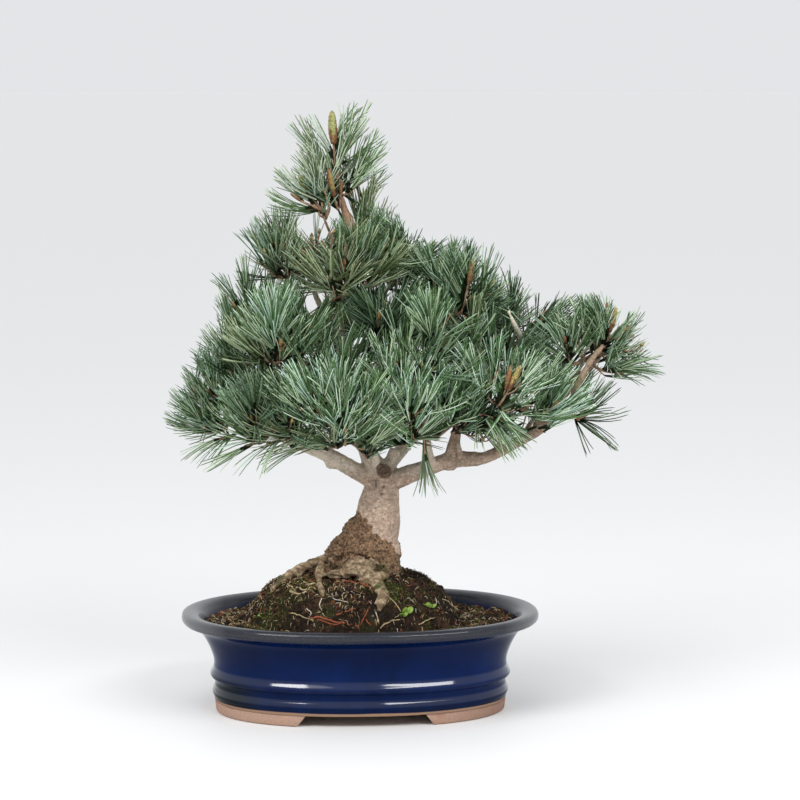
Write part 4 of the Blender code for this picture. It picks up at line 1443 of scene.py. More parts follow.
def rise_of(kind):
    """How far the needles of a kind of bundle curve towards +Y, as a share of their length."""
    return BUNDLE_RISE[0] + (BUNDLE_RISE[1] - BUNDLE_RISE[0]) * kind / (BUNDLE_KINDS - 1)


def needle_bundle(settings, rise, rng):
    """Five needles from one sheath that curve the same way, towards +Y, some dusty and some green."""
    bundle = bmesh.new()
    for number in range(BUNDLE_NEEDLES):
        length = settings.length * rng.uniform(*LENGTH_SHARES)
        bend, sway = (rng.uniform(*shares) * length for shares in (NEEDLE_BEND, NEEDLE_SWAY))
        bm = needle(length, settings.width / math.sqrt(3), bend, sway)
        spread = Matrix.Rotation(math.radians(rng.uniform(*BUNDLE_SPREAD)), 3, "Y")
        turn = Matrix.Rotation(2 * math.pi * number / BUNDLE_NEEDLES + rng.uniform(-0.4, 0.4), 3, "Z")
        outward = turn @ Vector((1.0, 0.0, 0.0))
        bmesh.ops.rotate(bm, cent=(0, 0, 0), matrix=turn @ spread, verts=bm.verts)
        bmesh.ops.translate(bm, vec=outward * 0.35 * MM, verts=bm.verts)
        for vert in bm.verts:
            vert.co.y += rise * vert.co.z**2 / length
        bmesh.ops.recalc_face_normals(bm, faces=bm.faces)
        bm.normal_update()
        look, tint = rng.random(), rng.random() < TINT_SHARE
        for face in bm.faces:
            middle = face.calc_center_median().length / length
            half = look < HALF_DUSTY_SHARE and face.normal.dot(outward) < 0.0
            shade = (2 if look < DUSTY_SHARE or half else 1) + 2 * tint
            # The first stretch of every needle takes the tone's foot colour, a painted shade at the bundle's
            # foot
            face.material_index = 0 if middle < NEEDLE_CUTS[0] else shade
        absorb(bundle, mesh_of(bm))
    return template_of(bundle)


def seen_from_front(point):
    """Where the line from the camera through a point meets the upright plane through the pot's middle."""
    ray = CAMERA_TURN @ point - CAMERA_EYE
    hit = CAMERA_EYE + ray * (CAMERA_DISTANCE / ray.y)
    return Vector((hit.x, hit.z))


def from_front(across, height, depth):
    """The point at a depth that is seen at a place on the upright plane, all in millimetres."""
    ray = Vector((across, 0.0, height)) * MM - CAMERA_EYE
    return CAMERA_TURN.inverted() @ (CAMERA_EYE + ray * (1 + depth * MM / CAMERA_DISTANCE))


def in_sky(point):
    """Whether a point is seen where the sky shows through the crown."""
    x, z = seen_from_front(point)
    return any(math.hypot(x - across * MM, z - height * MM) < radius * MM for across, height, radius in SKY)


def in_outline(point, slack):
    """Whether a point is seen inside the crown's outline, or no further outside than the slack."""
    seen = seen_from_front(point)
    x, z = seen + (CROWN_MIDDLE - seen).normalized() * slack
    inside = False
    for (x1, z1), (x2, z2) in zip(CROWN_OUTLINE, CROWN_OUTLINE[1:] + CROWN_OUTLINE[:1]):
        if (z1 * MM > z) != (z2 * MM > z) and x < (x1 + (x2 - x1) * (z / MM - z1) / (z2 - z1)) * MM:
            inside = not inside
    return inside


def near_line(place, start, end):
    """Distance of a place from a straight line between two places."""
    along = end - start
    share = clamped((place - start).dot(along) / along.length_squared)
    return (place - start - along * share).length


def shown_lines(sprays):
    """The candles and twigs that no needle may hide: both ends as seen from the front, depth and margin."""
    least, most = SHOWN_MARGINS
    lines = [(Vector(start) * MM, Vector(end) * MM, depth * MM, most) for start, end, depth in SHOWN_TWIGS]
    for spray in sprays:
        if spray.candle and spray.candle[0] * MM > SHOWN_CANDLE:
            foot, aim = spray.candle_seat()
            length = spray.candle[0] * MM
            tip = foot + aim * length
            margin = max(least, min(most, length * 0.4))
            lines.append((seen_from_front(foot), seen_from_front(tip), tip.y, margin))
    return lines


def hides(points, lines):
    """Whether a bundle passes in front of a line that must show."""
    for start, end, depth, margin in lines:
        if points[0].y > depth + SHOWN_IN_FRONT:
            continue
        if any(near_line(seen_from_front(point), start, end) < margin for point in points):
            return True
    return False


def bundle_curve(place, axis, length, rise):
    """Points along the middle of a bundle whose needles curve up, or down where the rise is negative."""
    lift = UP - axis * axis.z
    lift = lift.normalized() if lift.length > 1e-4 else Vector((1.0, 0.0, 0.0))
    return [place + (axis * share + lift * (rise * share * share)) * length for share in BUNDLE_SAMPLES]


def dress_spray(spray, length, lines, rng):
    """Place, axis, roll, size and kind of every bundle of needles on one spray."""
    rows = []
    droops = spray.at(1.0)[1].z < -0.1
    least = OPEN_ROUND_CANDLE if spray.candle else OPEN_AT_TIP
    for index in range(spray.bundles):
        along = (index + rng.uniform(0.0, 0.6)) / spray.bundles
        place, aim = spray.at(spray.bare + (1 - spray.bare) * along)
        size = spray.size * (1.0 - SIZE_FALL * along) * rng.uniform(*SIZE_SHARES)
        opening = (OPEN_AT_FOOT + (least - OPEN_AT_FOOT) * along**0.85) * spray.opening
        for trial in range(BUNDLE_TRIES):
            turn = GOLDEN_ANGLE * (index + 2 * trial) + rng.uniform(-15, 15)
            axis = tilted(aim, opening + rng.gauss(0, OPEN_JITTER), turn)
            axis = (axis + UP * (0.0 if droops else LIGHT_LIFT)).normalized()
            curl = 0.85 * (1.0 - abs(axis.z)) + rng.uniform(-0.15, 0.25)
            kind = max(0, min(BUNDLE_KINDS - 1, round(curl * (BUNDLE_KINDS - 1))))
            rise = -rise_of(kind) if droops else rise_of(kind)
            points = bundle_curve(place, axis, length * size, rise)
            if any(in_sky(point) for point in points) or hides(points, lines):
                continue
            if in_outline(points[-1], rng.uniform(*spray.slack)):
                roll = rng.gauss(math.pi if droops else 0.0, ROLL_SPREAD)
                rows.append((*place, *axis, roll, size, kind))
                break
    return rows


def candle_template(radius, sides, rings, blunt):
    """A bud one unit long: slim, with its scales as small steps, and blunt or pointed."""
    outline = []
    for ring in range(rings + 1):
        share = ring / rings
        swell = min(1.0, 0.6 + share * 1.2) * (1 - share**blunt) ** 0.5
        step = 1.0 + 0.10 * (ring % 2)
        outline.append((share, radius * max(0.06, swell) * step))
    bm = bmesh.new()
    turns = [2 * math.pi * side / sides for side in range(sides)]
    loft(bm, [[Vector((r * math.cos(turn), r * math.sin(turn), z)) for turn in turns] for z, r in outline])
    for face in bm.faces:
        middle = face.calc_center_median()
        face.material_index = int(middle.z + 0.12 * math.sin(7 * middle.x / radius) < CANDLE_FOOT_SHARE)
    return template_of(bm)


def mound_height(x, y):
    """Height of the soil in metres: flat at the rim, rising to the ground level under the trunk."""
    centre = TRUNK_STATIONS[0][0] * MM
    reach = (MOUND_LEFT if x < centre else MOUND_RIGHT) * MM
    far = math.hypot((x - centre) / reach, y / (MOUND_DEPTH * MM))
    rise = max(0.0, 1 - far**MOUND_POWER)
    ripple = math.sin(RIPPLES[0] * x + 1) * math.cos(RIPPLES[1] * y)
    ripple += math.sin(RIPPLES[2] * x - RIPPLES[3] * y)
    height = (SOIL_EDGE + (GROUND - SOIL_EDGE) * rise) * MM - GAP
    return min(height + SOIL_ROUGHNESS * MM * ripple * (1 - rise**3), GROUND * MM - GAP)


def soil_top(x, y):
    """The mound with the lumps and hollows of loose soil, for the visible surface."""
    lumps = noise.noise(Vector((x, y, 0.0)) * 160) * 1.3 + noise.noise(Vector((x, y, 3.0)) * 420) * 0.8
    clump = max(0.0, 1 - math.hypot((x - CLUMP.x) / 0.017, (y - CLUMP.y) / 0.024)) ** 0.5
    clump *= 1.0 + 2.5 * noise.noise(Vector((x, y, 7.0)) * 230)
    clump -= 2.6 * max(0.0, 1 - math.hypot((x - 0.060) / 0.026, y / 0.070)) ** 0.5
    return mound_height(x, y) + (lumps + clump) * MM


def moss_cover(x, y):
    """How mossy the mound is, from 0 to 1: at the left edge, round the roots and in small patches."""
    patches = noise.noise(Vector((x, y, 11.0)) * 85) * 1.1 - 0.16
    left = 1.0 - math.hypot((x + 0.084) / 0.030, (y + 0.045) / 0.034)
    roots = 1.0 - math.hypot((x - 0.020) / 0.020, (y + 0.050) / 0.014)
    bank = 1.0 - math.hypot((x + 0.046) / 0.026, (y + 0.034) / 0.020)
    return clamped(max(patches, left * 0.7, roots * 2.0, bank * 0.8))


def left_heavy(x, y):
    """More dry fibres on the left half of the mound than on the right."""
    return 1.0 if x < -0.005 else 0.4


def on_soil(across, height):
    """The place on the mound that is seen at a place on the upright plane, both in millimetres."""
    for depth in range(-112, 0):
        point = from_front(across, height, depth)
        if point.z <= soil_top(point.x, point.y):
            return point
    return from_front(across, height, -10)


def seen_route(line, radii, lift):
    """A route that lies on the mound where the photo shows it, thinner towards its end."""
    route = tapered(curve_through([on_soil(*spot) for spot in line], 2 * MM), radii)
    for point, _ in route:
        point.z = max(point.z, soil_top(point.x, point.y)) + lift
    return route


def oval(inset, angle):
    """A point of the pot's outline, moved in from the lip by an inset in metres."""
    across, along = math.cos(angle), math.sin(angle)
    power = 2 / OUTLINE_POWER
    x = math.copysign(abs(across) ** power, across) * (POT_LENGTH / 2 - inset)
    y = math.copysign(abs(along) ** power, along) * (POT_WIDTH / 2 - inset)
    return x, y


def oval_ring(inset, height, sides):
    angles = [2 * math.pi * step / sides for step in range(sides)]
    return [Vector((*oval(inset, angle), height)) for angle in angles]


def inside_pot(x, y, inset):
    half_x, half_y = POT_LENGTH / 2 - inset, POT_WIDTH / 2 - inset
    return abs(x / half_x) ** OUTLINE_POWER + abs(y / half_y) ** OUTLINE_POWER < 1.0


def trunk_rings(route, sides):
    """Rings across the trunk, with the lobes of the root flare near the ground and a flat first ring."""
    rings = []
    for index, (point, radius) in enumerate(route):
        after = route[min(index + 1, len(route) - 1)][0]
        before = route[max(index - 1, 0)][0]
        tangent = (after - before).normalized()
        near = max(0.0, 1 - (point.z - GROUND * MM) / (FLARE_TOP - GROUND * MM))
        turn = Quaternion().slerp(UP.rotation_difference(tangent), 1 - near)
        ring = []
        for side in range(sides):
            angle = 2 * math.pi * side / sides
            lobe = 1 + FLARE_DEPTH * near * math.cos(FLARE_LOBES * angle + FLARE_TURN)
            ring.append(point + turn @ Vector((math.cos(angle), math.sin(angle), 0.0)) * (radius * lobe))
        rings.append(ring)
    return rings


def old_bark(point):
    """1 on the rough bark at the trunk's foot and its left flank, 0 on the smooth bark above."""
    wander = 0.008 * noise.noise(point * 60) + 0.004 * noise.noise(point * 190)
    edge = 0.170 - point.x + 0.7 * max(0.0, point.y) + wander
    return clamped((min(edge, 0.186 + wander) - point.z) / 0.004)


def bark_relief(point):
    """Height of the bark over its smooth form, in shares of the relief, and how old it is."""
    old = old_bark(point)
    lumps = 1.0 - noise.turbulence(point * 150, 3, True)
    crust = 0.7 - noise.turbulence(Vector((point.x, point.y, point.z * 0.7)) * 420, 2, True) * 0.8
    rough = 0.9 * (lumps + crust)
    swell = noise.noise(point * 62) * 0.75
    wrinkles = noise.noise(Vector((point.x, point.y, point.z * 2.2)) * 260) * 0.22
    return old * (rough * 2.1 - 1.5) + (1 - old) * (swell * 0.5 + wrinkles), old


def laid_down(route):
    """The route of a root, let down until it lies half sunk in the mound."""
    laid = []
    for point, radius in route:
        height = max(mound_height(point.x, point.y) + 0.1 * radius, point.z)
        laid.append((Vector((point.x, point.y, height)) + UP * ROOT_LIFT, radius * ROOT_SHARE))
    return laid


def root_routes():
    """Every surface root, with knots and thinner stretches."""
    routes = [laid_down(smooth_route(stations, ROOT_STEP)) for stations in ROOTS.values()]
    routes += [front_route(line, radii, 2.5 * MM) for line, radii in FOOT_ARCS]
    routes += [seen_route(line, radii, 0.4 * MM) for line, radii in SMALL_ROOTS]
    return [knotted(route, 0.55, 150) for route in routes]


def limb_solid(settings):
    """Trunk, boughs, stubs and roots grown together into one skin."""
    limbs, _ = plan_limbs(SKIN_TRUNK_STEP, SKIN_STEP)
    bm = bmesh.new()
    loft(bm, trunk_rings(smooth_route(TRUNK_STATIONS, SKIN_STEP), TRUNK_SIDES))
    tubes = [route for name, route in limbs.items() if name != "trunk"]
    tubes += root_routes()
    tubes += [smooth_route(stations, ROOT_STEP) for stations in STUBS]
    absorb(bm, tubes_mesh(tubes, LIMB_SIDES))
    holder = linked("limbs", mesh_of(bm))
    skin = holder.modifiers.new("skin", "REMESH")
    skin.mode = "VOXEL"
    skin.voxel_size = settings.grain
    return shown_mesh(holder)


def root_share(point, roots):
    """How much of the place belongs to a surface root."""
    nearest = min((point - place).length - radius for place, radius in roots)
    return clamped(1.0 - (nearest - 0.4 * MM) / (1.2 * MM))


def marked(point, spots, blur):
    """1 on the spots of the trunk's and roots' front, fading over a width to 0 away from them."""
    if point.y > 0.0:
        return 0.0
    seen = seen_from_front(point)
    nearest = min(near_line(seen, Vector(a) * MM, Vector(b) * MM) - radius * MM for a, b, radius in spots)
    return clamped(-nearest / blur)


def make_limbs(settings):
    """The skin of all limbs with the relief of its bark."""
    bm = bmesh.new()
    absorb(bm, limb_solid(settings))
    every_axis = {"use_axis_x": True, "use_axis_y": True, "use_axis_z": True}
    for _ in range(SMOOTHING_ROUNDS):
        bmesh.ops.smooth_vert(bm, verts=bm.verts, factor=0.5, **every_axis)
    bm.normal_update()
    roots = [spot for route in root_routes() for spot in route]
    layers = {name: bm.verts.layers.float.new(name) for name in BARK_MARKS}
    places = []
    for vert in bm.verts:
        point = vert.co
        root = root_share(point, roots) if point.z < ROOT_TOP else 0.0
        height, old = bark_relief(point)
        height += root * (noise.noise(point * 240) * 0.6 + noise.noise(point * 520) * 0.2 - 0.3 - height)
        from_scar = (point - SCAR).length
        if from_scar < SCAR_RADIUS:
            height = 0.35 * math.sin(from_scar * SCAR_RINGS) - 0.5
        pit = marked(point, PITS, 0.5 * MM)
        damp = clamped((MOSS_TOP - point.z) / MOSS_FADE) * max(0.0, noise.noise(point * 90) + 0.3)
        marks = {
            "old": old * (1 - root),
            "root": root,
            "scar": clamped((SCAR_RADIUS - from_scar) / MM),
            "pit": pit,
            "moss": max(damp, marked(point, MOSSY, 1.5 * MM)),
        }
        for name, value in marks.items():
            vert[layers[name]] = value
        places.append(point + vert.normal * (height - PIT_DEPTH * pit) * settings.relief)
    for vert, place in zip(bm.verts, places):
        vert.co = place
    return mesh_of(bm)


class BONSAI_OT_limbs(bpy.types.Operator):
    """Trunk, boughs and surface roots, with the relief of their bark"""

    bl_idname = "bonsai.limbs"
    bl_label = "Trunk and boughs"

    def execute(self, context):
        settings = context.scene.bonsai_bark
        nodes = [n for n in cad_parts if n.startswith(("bough_", "root_")) or n == "trunk"]
        add_piece("trunk_and_boughs", make_limbs(settings), [bark_finish(settings)], nodes)
        for name, (line, radii, colour) in PALE_LIMBS.items():
            route = knotted(front_route(line, radii, 2 * MM), 0.5, 210)
            add_piece(name, tubes_mesh([route], LIMB_SIDES), [grain_finish(name, colour, 0.8)])
        return {"FINISHED"}


class BONSAI_OT_foliage(bpy.types.Operator):
    """Twigs, buds and needles of every mass"""

    bl_idname = "bonsai.foliage"
    bl_label = "Needles, twigs and buds"

    def execute(self, context):
        settings = context.scene.bonsai_needles
        limbs, carriers = plan_limbs(TRUNK_STEP, BOUGH_STEP)
        sprays = []
        for name, carrier in carriers.items():
            sprays += grow_mass(name, limbs[carrier], limbs, settings)
        self.add_needles(sprays, shown_lines(sprays), settings)
        self.add_twigs(sprays)
        self.add_buds(sprays)
        return {"FINISHED"}

    def add_needles(self, sprays, lines, settings):
        rng = random.Random("bundles")
        templates = [needle_bundle(settings, rise_of(kind), rng) for kind in range(BUNDLE_KINDS)]
        limit = PIECE_LIMIT // len(templates[0][1])
        for tone, colours in TONES.items():
            own = [spray for spray in sprays if spray.tone == tone]
            if not own:
                continue
            # foot is the darker colour at the needles' feet, a painted shade
            foot, green, dusty = (linear(colour) for colour in colours)
            looks = {
                "foot": foot,
                "green": tinted(green, WARM),
                "dusty": tinted(dusty, WARM),
                "deep_green": green,
                "blue_dust": tinted(dusty, COOL),
            }
            finishes = [needle_finish(f"needle_{look}_{tone}", colour) for look, colour in looks.items()]
            parts = [([], set())]
            for spray in own:
                if parts[-1][0] and len(parts[-1][0]) + spray.bundles > limit:
                    parts.append(([], set()))
                rows, nodes = parts[-1]
                spray_rng = random.Random(f"{spray.mass} {hash_of(spray.path[-1])}")
                rows += dress_spray(spray, settings.length, lines, spray_rng)
                nodes.add("foliage_" + spray.mass)
            for number, (rows, nodes) in enumerate(parts, start=1):
                mesh = scatter(templates, rows)
                add_piece(f"needles_{tone}_{number}", mesh, finishes, sorted(nodes))

    def add_twigs(self, sprays):
        routes = []
        for spray in sprays:
            last = len(spray.path) - 1
            taper = [spray.radius * (1.25 - 0.45 * index / last) for index in range(last + 1)]
            routes.append(list(zip(spray.path, taper)))
        add_piece("twigs", tubes_mesh(routes, THREAD_SIDES), [twig_finish()])

    def add_buds(self, sprays):
        rng = random.Random("buds")
        for number, (kind, colour) in enumerate(CANDLES.items()):
            slim = 0.135 if kind == "green" else 0.105
            templates = [candle_template(slim, 9, 16, 4), candle_template(0.28, 7, 6, 2)]
            rows = []
            for spray in sprays:
                place, aim = spray.candle_seat()
                if spray.candle and spray.candle[1] == kind:
                    size = spray.candle[0] * MM
                    rows.append((*place, *aim, rng.uniform(0, 6), size, 0 if size > CANDLE_LEAST else 1))
                elif not spray.candle and hash_of(place) % BUD_SHARE == number:
                    rows.append((*place, *aim, rng.uniform(0, 6), rng.uniform(4.0, 6.0) * MM, 1))
            finishes = [candle_finish(kind, colour), candle_finish(kind + "_foot", CANDLE_FOOT)]
            add_piece("buds_" + kind, scatter(templates, rows), finishes)


def hash_of(place):
    """A whole number that a place always gives."""
    return int(abs(place.x * 7919 + place.y * 104729 + place.z * 1299709) * 1000)


class BONSAI_OT_pot(bpy.types.Operator):
    """Glazed oval pot with its rolled lip and ridges, and the clay feet under it"""

    bl_idname = "bonsai.pot"
    bl_label = "Pot and feet"

    def execute(self, context):
        settings = context.scene.bonsai_pot
        profile = curve_through([Vector((inset, height, 0.0)) for inset, height in POT_PROFILE], PROFILE_STEP)
        bm = bmesh.new()
        loft(bm, [oval_ring(spot.x * MM, spot.y * MM, POT_SIDES) for spot in profile])
        add_piece("glazed_pot", mesh_of(bm), [glaze_finish(settings)], ["pot"])
        clay = clay_finish(settings)
        for name, side in (("foot_left", -1), ("foot_right", 1)):
            add_piece("clay_" + name, self.foot_mesh(side), [clay], [name])
        return {"FINISHED"}

    def foot_mesh(self, side):
        rings = []
        for station in range(FOOT_STATIONS):
            share = 2 * station / (FOOT_STATIONS - 1) - 1
            ring = []
            for inset, height, end in FOOT_CORNERS:
                widest = math.acos((end * MM / (POT_LENGTH / 2 - inset * MM)) ** (OUTLINE_POWER / 2))
                x, y = oval(inset * MM, share * widest)
                ring.append(Vector((side * x, y, height * MM)))
            rings.append(ring)
        bm = bmesh.new()
        loft(bm, rings)
        sharp = [edge for edge in bm.edges if edge.calc_face_angle(0.0) > SHARP_ANGLE]
        bmesh.ops.bevel(
            bm, geom=sharp, offset=FOOT_BEVEL, affect="EDGES", segments=3, profile=0.5, material=-1
        )
        return mesh_of(bm)


class BONSAI_OT_soil(bpy.types.Operator):
    """Mound of soil with crumbs, root fibres, moss and seedlings"""

    bl_idname = "bonsai.soil"
    bl_label = "Soil and moss"

    def execute(self, context):
        settings = context.scene.bonsai_soil
        add_piece("soil_mound", self.mound(), [soil_finish(settings)], ["soil"])
        self.add_crumbs(settings)
        self.add_fibres(settings)
        self.add_moss(settings)
        self.add_seedlings()
        self.add_clump()
        return {"FINISHED"}

    def mound(self):
        rings = [oval_ring(SOIL_BOTTOM_INSET * MM, SOIL_BOTTOM * MM, POT_SIDES)]
        edge = oval_ring(SOIL_EDGE_INSET * MM, SOIL_EDGE * MM, POT_SIDES)
        seat = Vector((TRUNK_STATIONS[0][0] * MM, 0.0, 0.0))
        for step in range(MOUND_RINGS):
            share = step / MOUND_RINGS
            ring = []
            for outer in edge:
                inner = seat + (Vector((outer.x, outer.y, 0.0)) - seat).normalized() * MOUND_INNER * MM
                x = outer.x + (inner.x - outer.x) * share
                y = outer.y + (inner.y - outer.y) * share
                ring.append(Vector((x, y, soil_top(x, y))))
            rings.append(ring)
        bm = bmesh.new()
        loft(bm, rings)
        mark = bm.verts.layers.float.new("moss")
        for vert in bm.verts:
            vert[mark] = moss_cover(vert.co.x, vert.co.y)
        return mesh_of(bm)

    def spots(self, rng, count, inset, wanted=None):
        """Random places on the mound, clear of the trunk."""
        found = []
        seat = TRUNK_STATIONS[0][0] * MM
        while len(found) < count:
            x, y = rng.uniform(-0.14, 0.14), rng.uniform(-0.10, 0.10)
            if not inside_pot(x, y, inset * MM) or math.hypot(x - seat, y) < TRUNK_CLEARANCE:
                continue
            if wanted and rng.random() > wanted(x, y):
                continue
            found.append(Vector((x, y, soil_top(x, y))))
        return found

    def add_crumbs(self, settings):
        rng = random.Random("crumbs")
        templates = []
        for _ in range(6):
            bm = bmesh.new()
            bmesh.ops.create_icosphere(bm, subdivisions=1, radius=1.0)
            for vert in bm.verts:
                vert.co *= rng.uniform(0.55, 1.15)
            templates.append(template_of(bm))
        shades = {
            "black": ((0.016, 0.010, 0.007), 0.52),
            "brown": ((0.046, 0.026, 0.015), 0.33),
            "rust": ((0.11, 0.046, 0.021), 0.10),
            "grey": ((0.15, 0.12, 0.09), 0.05),
        }
        for shade, (colour, share) in shades.items():
            spots = self.spots(rng, int(settings.crumbs * share), SOIL_EDGE_INSET + 2)
            axes = [(rng.gauss(0, 1), rng.gauss(0, 1), rng.gauss(0, 1) + 0.01) for _ in spots]
            sizes = [rng.uniform(0.5, 1.0) * (2.6 if rng.random() < 0.16 else 1.1) * MM for _ in spots]
            placed = zip(spots, axes, sizes)
            rows = [(*spot, *axis, 0.0, size, rng.randrange(6)) for spot, axis, size in placed]
            mesh = scatter(templates, rows)
            add_piece("crumbs_" + shade, mesh, [grain_finish("crumb_" + shade, colour)])

    def fibre(self, rng, start, length, radius):
        """A thin root that wanders over the soil."""
        heading = rng.uniform(0, 2 * math.pi)
        route, place = [], start
        count = max(4, int(length / (1.8 * MM)))
        arch = rng.uniform(0.2, 1.6) * MM
        for index in range(count + 1):
            share = index / count
            lift = math.sin(math.pi * share) * arch - (0.4 * MM if index in (0, count) else 0.0)
            x, y = place.x, place.y
            route.append((Vector((x, y, soil_top(x, y) + radius * 0.6 + lift)), radius * (1.1 - 0.6 * share)))
            heading += rng.gauss(0, 0.45)
            stride = Vector((math.cos(heading), math.sin(heading), 0.0)) * 1.8 * MM
            fall = abs(soil_top(x + stride.x, y + stride.y) - soil_top(x, y))
            place = Vector((x, y, 0.0)) + stride / (1 + fall / MM)
            if not inside_pot(place.x, place.y, (SOIL_EDGE_INSET + 1.5) * MM):
                break
        return route

    def add_fibres(self, settings):
        rng = random.Random("fibres")
        kinds = {
            "straw": ((0.40, 0.32, 0.18), 0.36, (0.16, 0.40), (3, 11)),
            "tan": ((0.12, 0.070, 0.036), 0.42, (0.20, 0.55), (4, 18)),
            "rust": ((0.24, 0.070, 0.035), 0.06, (0.20, 0.45), (5, 16)),
            "white": ((0.52, 0.48, 0.39), 0.14, (0.15, 0.32), (1.5, 5)),
        }
        for name, (colour, share, radii, lengths) in kinds.items():
            spots = self.spots(rng, int(settings.fibres * share), SOIL_EDGE_INSET + 4, left_heavy)
            routes = [self.fibre(rng, s, rng.uniform(*lengths) * MM, rng.uniform(*radii) * MM) for s in spots]
            routes = [route for route in routes if len(route) > 3]
            routes += [seen_route(line, ends, 0.5 * MM) for line, ends in SEEN_FIBRES.get(name, ())]
            finish = grain_finish("fibre_" + name, colour)
            add_piece("fibres_" + name, tubes_mesh(routes, THREAD_SIDES), [finish])

    def add_moss(self, settings):
        rng = random.Random("moss")
        templates = []
        for _ in range(5):
            tuft = bmesh.new()
            for _ in range(7):
                length, lean, turn = rng.uniform(0.6, 1.0), rng.uniform(0.1, 0.9), rng.uniform(0, 2 * math.pi)
                add_spike(tuft, 0.13, 0.0, length, lean, turn)
            templates.append(template_of(tuft))
        for shade, colour, share in (
            ("dark", (0.034, 0.038, 0.012), 0.72),
            ("bright", (0.105, 0.11, 0.025), 0.28),
        ):
            spots = self.spots(rng, int(settings.moss * share), SOIL_EDGE_INSET + 2, moss_cover)
            axes = [(rng.gauss(0, 0.3), rng.gauss(0, 0.3), 1.0) for _ in spots]
            sizes = [rng.uniform(1.3, 3.0) * MM for _ in spots]
            kinds = [rng.randrange(5) for _ in spots]
            rows = []
            for spot, axis, size, kind in zip(spots, axes, sizes, kinds):
                rows.append((*spot, *axis, rng.uniform(0, 2 * math.pi), size, kind))
            mesh = scatter(templates, rows)
            add_piece("moss_" + shade, mesh, [grain_finish("moss_" + shade, colour, 0.8)])

    def add_seedlings(self):
        """Small green seedlings among the fibres."""
        rng = random.Random("seedlings")
        leaf = bmesh.new()
        bmesh.ops.create_uvsphere(leaf, u_segments=10, v_segments=6, radius=1.0)
        bmesh.ops.scale(leaf, vec=(0.42, 0.09, 0.5), verts=leaf.verts)
        bmesh.ops.translate(leaf, vec=(0.0, 0.0, 0.5), verts=leaf.verts)
        rows = []
        for across, height, size in SEEDLINGS:
            ground = on_soil(across, height) + UP * 1.2 * MM
            for number in range(3):
                turn = 2.1 * number + rng.uniform(-0.3, 0.3)
                roll = rng.uniform(0, 2 * math.pi)
                rows.append((*ground, math.cos(turn), math.sin(turn), 0.75, roll, size * MM, 0))
        mesh = scatter([template_of(leaf)], rows)
        add_piece("seedlings", mesh, [grain_finish("seedling", (0.20, 0.31, 0.06), 0.5)])

    def add_clump(self):
        """The dark spiky clump on the mound, right of the trunk."""
        rng = random.Random("clump")
        spikes = bmesh.new()
        for _ in range(9):
            turn, lean = rng.uniform(0, 2 * math.pi), rng.uniform(0.1, 1.2)
            add_spike(spikes, 0.11, 0.02, 1.0, lean, turn)
        rows = []
        for _ in range(90):
            x, y = rng.gauss(CLUMP.x, 6.5 * MM), rng.gauss(CLUMP.y, 8 * MM)
            size = rng.uniform(2.2, 4.6) * MM
            axis = rng.gauss(0, 0.4), rng.gauss(0, 0.4), 1.0
            rows.append((x, y, soil_top(x, y), *axis, rng.uniform(0, 6), size, 0))
        mesh = scatter([template_of(spikes)], rows)
        add_piece("dark_clump", mesh, [grain_finish("clump", (0.022, 0.017, 0.012), 0.8)])


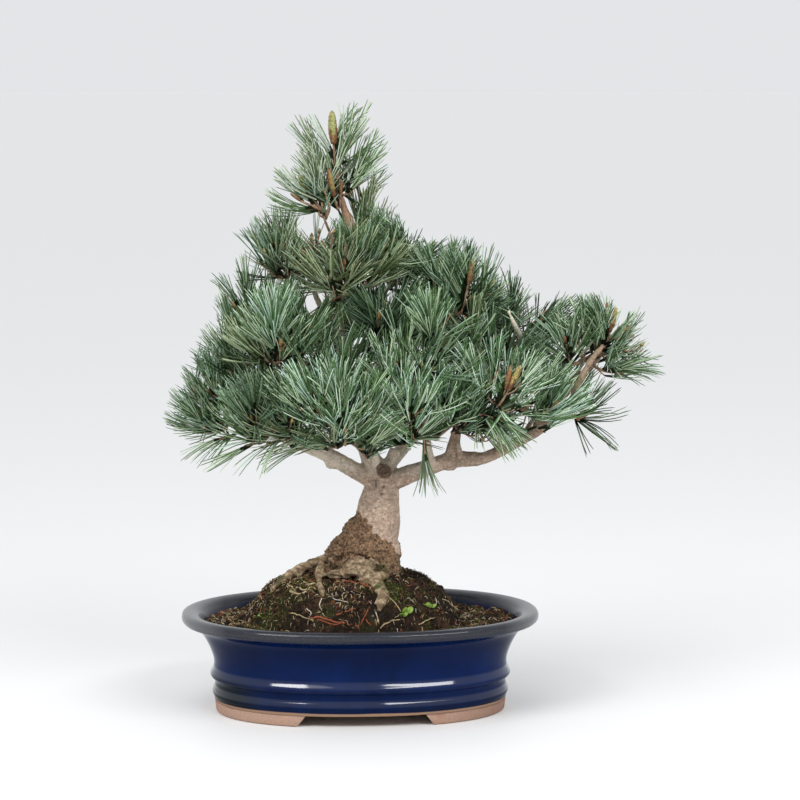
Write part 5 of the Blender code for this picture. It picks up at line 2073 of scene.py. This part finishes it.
class BONSAI_OT_studio(bpy.types.Operator):
    """Pale floor, soft lights and the camera"""

    bl_idname = "bonsai.studio"
    bl_label = "Studio"

    def execute(self, context):
        settings = context.scene.bonsai_studio
        self.add_floor(settings)
        self.add_sky(settings)
        self.add_box("left_box", (-1.18, -1.27, 1.38), (0.85, 0.28), settings.key * 0.6)
        self.add_box("right_box", (0.98, -1.46, 1.38), (1.5, 0.30), settings.key * 1.05)
        self.add_sun(settings.sun)
        self.add_camera(context)
        context.scene.view_settings.view_transform = "Standard"
        return {"FINISHED"}

    def add_floor(self, settings):
        bm = bmesh.new()
        bmesh.ops.create_circle(bm, cap_ends=True, segments=96, radius=60.0)
        bmesh.ops.translate(bm, vec=(0.0, 0.0, -0.0004), verts=bm.verts)
        mesh = mesh_of(bm, "floor")
        mesh.materials.append(Finish("floor", tuple(settings.floor), 0.6).material)
        linked("floor", mesh)

    def add_sky(self, settings):
        world = bpy.data.worlds.new("studio")
        world.use_nodes = True
        background = world.node_tree.nodes["Background"]
        background.inputs["Color"].default_value = (0.96, 0.98, 1.0, 1.0)
        background.inputs["Strength"].default_value = settings.sky
        bpy.context.scene.world = world

    def aim_light(self, data, place):
        light = linked(data.name, data)
        light.location = Vector(place)
        light.rotation_euler = (Vector((0.0, 0.0, 0.2)) - light.location).to_track_quat("-Z", "Y").to_euler()

    def add_box(self, name, place, size, power):
        data = bpy.data.lights.new(name, "AREA")
        data.shape = "RECTANGLE"
        data.size, data.size_y = size
        data.energy = power
        self.aim_light(data, place)

    def add_sun(self, strength):
        data = bpy.data.lights.new("sun", "SUN")
        data.energy = strength
        data.angle = math.radians(40)
        self.aim_light(data, (-1.2, -1.6, 3.0))

    def add_camera(self, context):
        data = bpy.data.cameras.new("camera")
        data.sensor_width = 36.0
        data.lens = CAMERA_LENS
        data.clip_end = 50.0
        camera = linked("camera", data)
        turn = Matrix.Rotation(math.radians(-CAMERA_YAW), 3, "Z")
        camera.location = turn @ CAMERA_EYE + SHIFT
        camera.rotation_euler = (math.radians(90 - CAMERA_DROP), 0.0, math.radians(-CAMERA_YAW))
        context.scene.camera = camera


class BONSAI_PT_panel(bpy.types.Panel):
    """Buttons for each group of pieces, with the sizes and colours they use"""

    bl_idname = "BONSAI_PT_panel"
    bl_label = "Bonsai"
    bl_space_type = "VIEW_3D"
    bl_region_type = "UI"
    bl_category = "Bonsai"

    def draw(self, context):
        for name, (_, operator) in GROUPS.items():
            box = self.layout.box()
            settings = getattr(context.scene, name)
            for key in settings.__annotations__:
                box.prop(settings, key)
            box.operator(operator.bl_idname)


# Each group's settings and the operator that makes its pieces
GROUPS = {
    "bonsai_bark": (BarkSettings, BONSAI_OT_limbs),
    "bonsai_needles": (NeedleSettings, BONSAI_OT_foliage),
    "bonsai_pot": (PotSettings, BONSAI_OT_pot),
    "bonsai_soil": (SoilSettings, BONSAI_OT_soil),
    "bonsai_studio": (StudioSettings, BONSAI_OT_studio),
}
CLASSES = [*(each for pair in GROUPS.values() for each in pair), BONSAI_PT_panel]


def register():
    for each in CLASSES:
        bpy.utils.register_class(each)
    for name, (settings, _) in GROUPS.items():
        setattr(bpy.types.Scene, name, PointerProperty(type=settings))


def unregister():
    for name in GROUPS:
        delattr(bpy.types.Scene, name)
    for each in reversed(CLASSES):
        bpy.utils.unregister_class(each)


def main():
    register()
    bpy.ops.bonsai.studio()
    bpy.ops.bonsai.limbs()
    bpy.ops.bonsai.foliage()
    bpy.ops.bonsai.pot()
    bpy.ops.bonsai.soil()


if __name__ == "__main__":
    main()
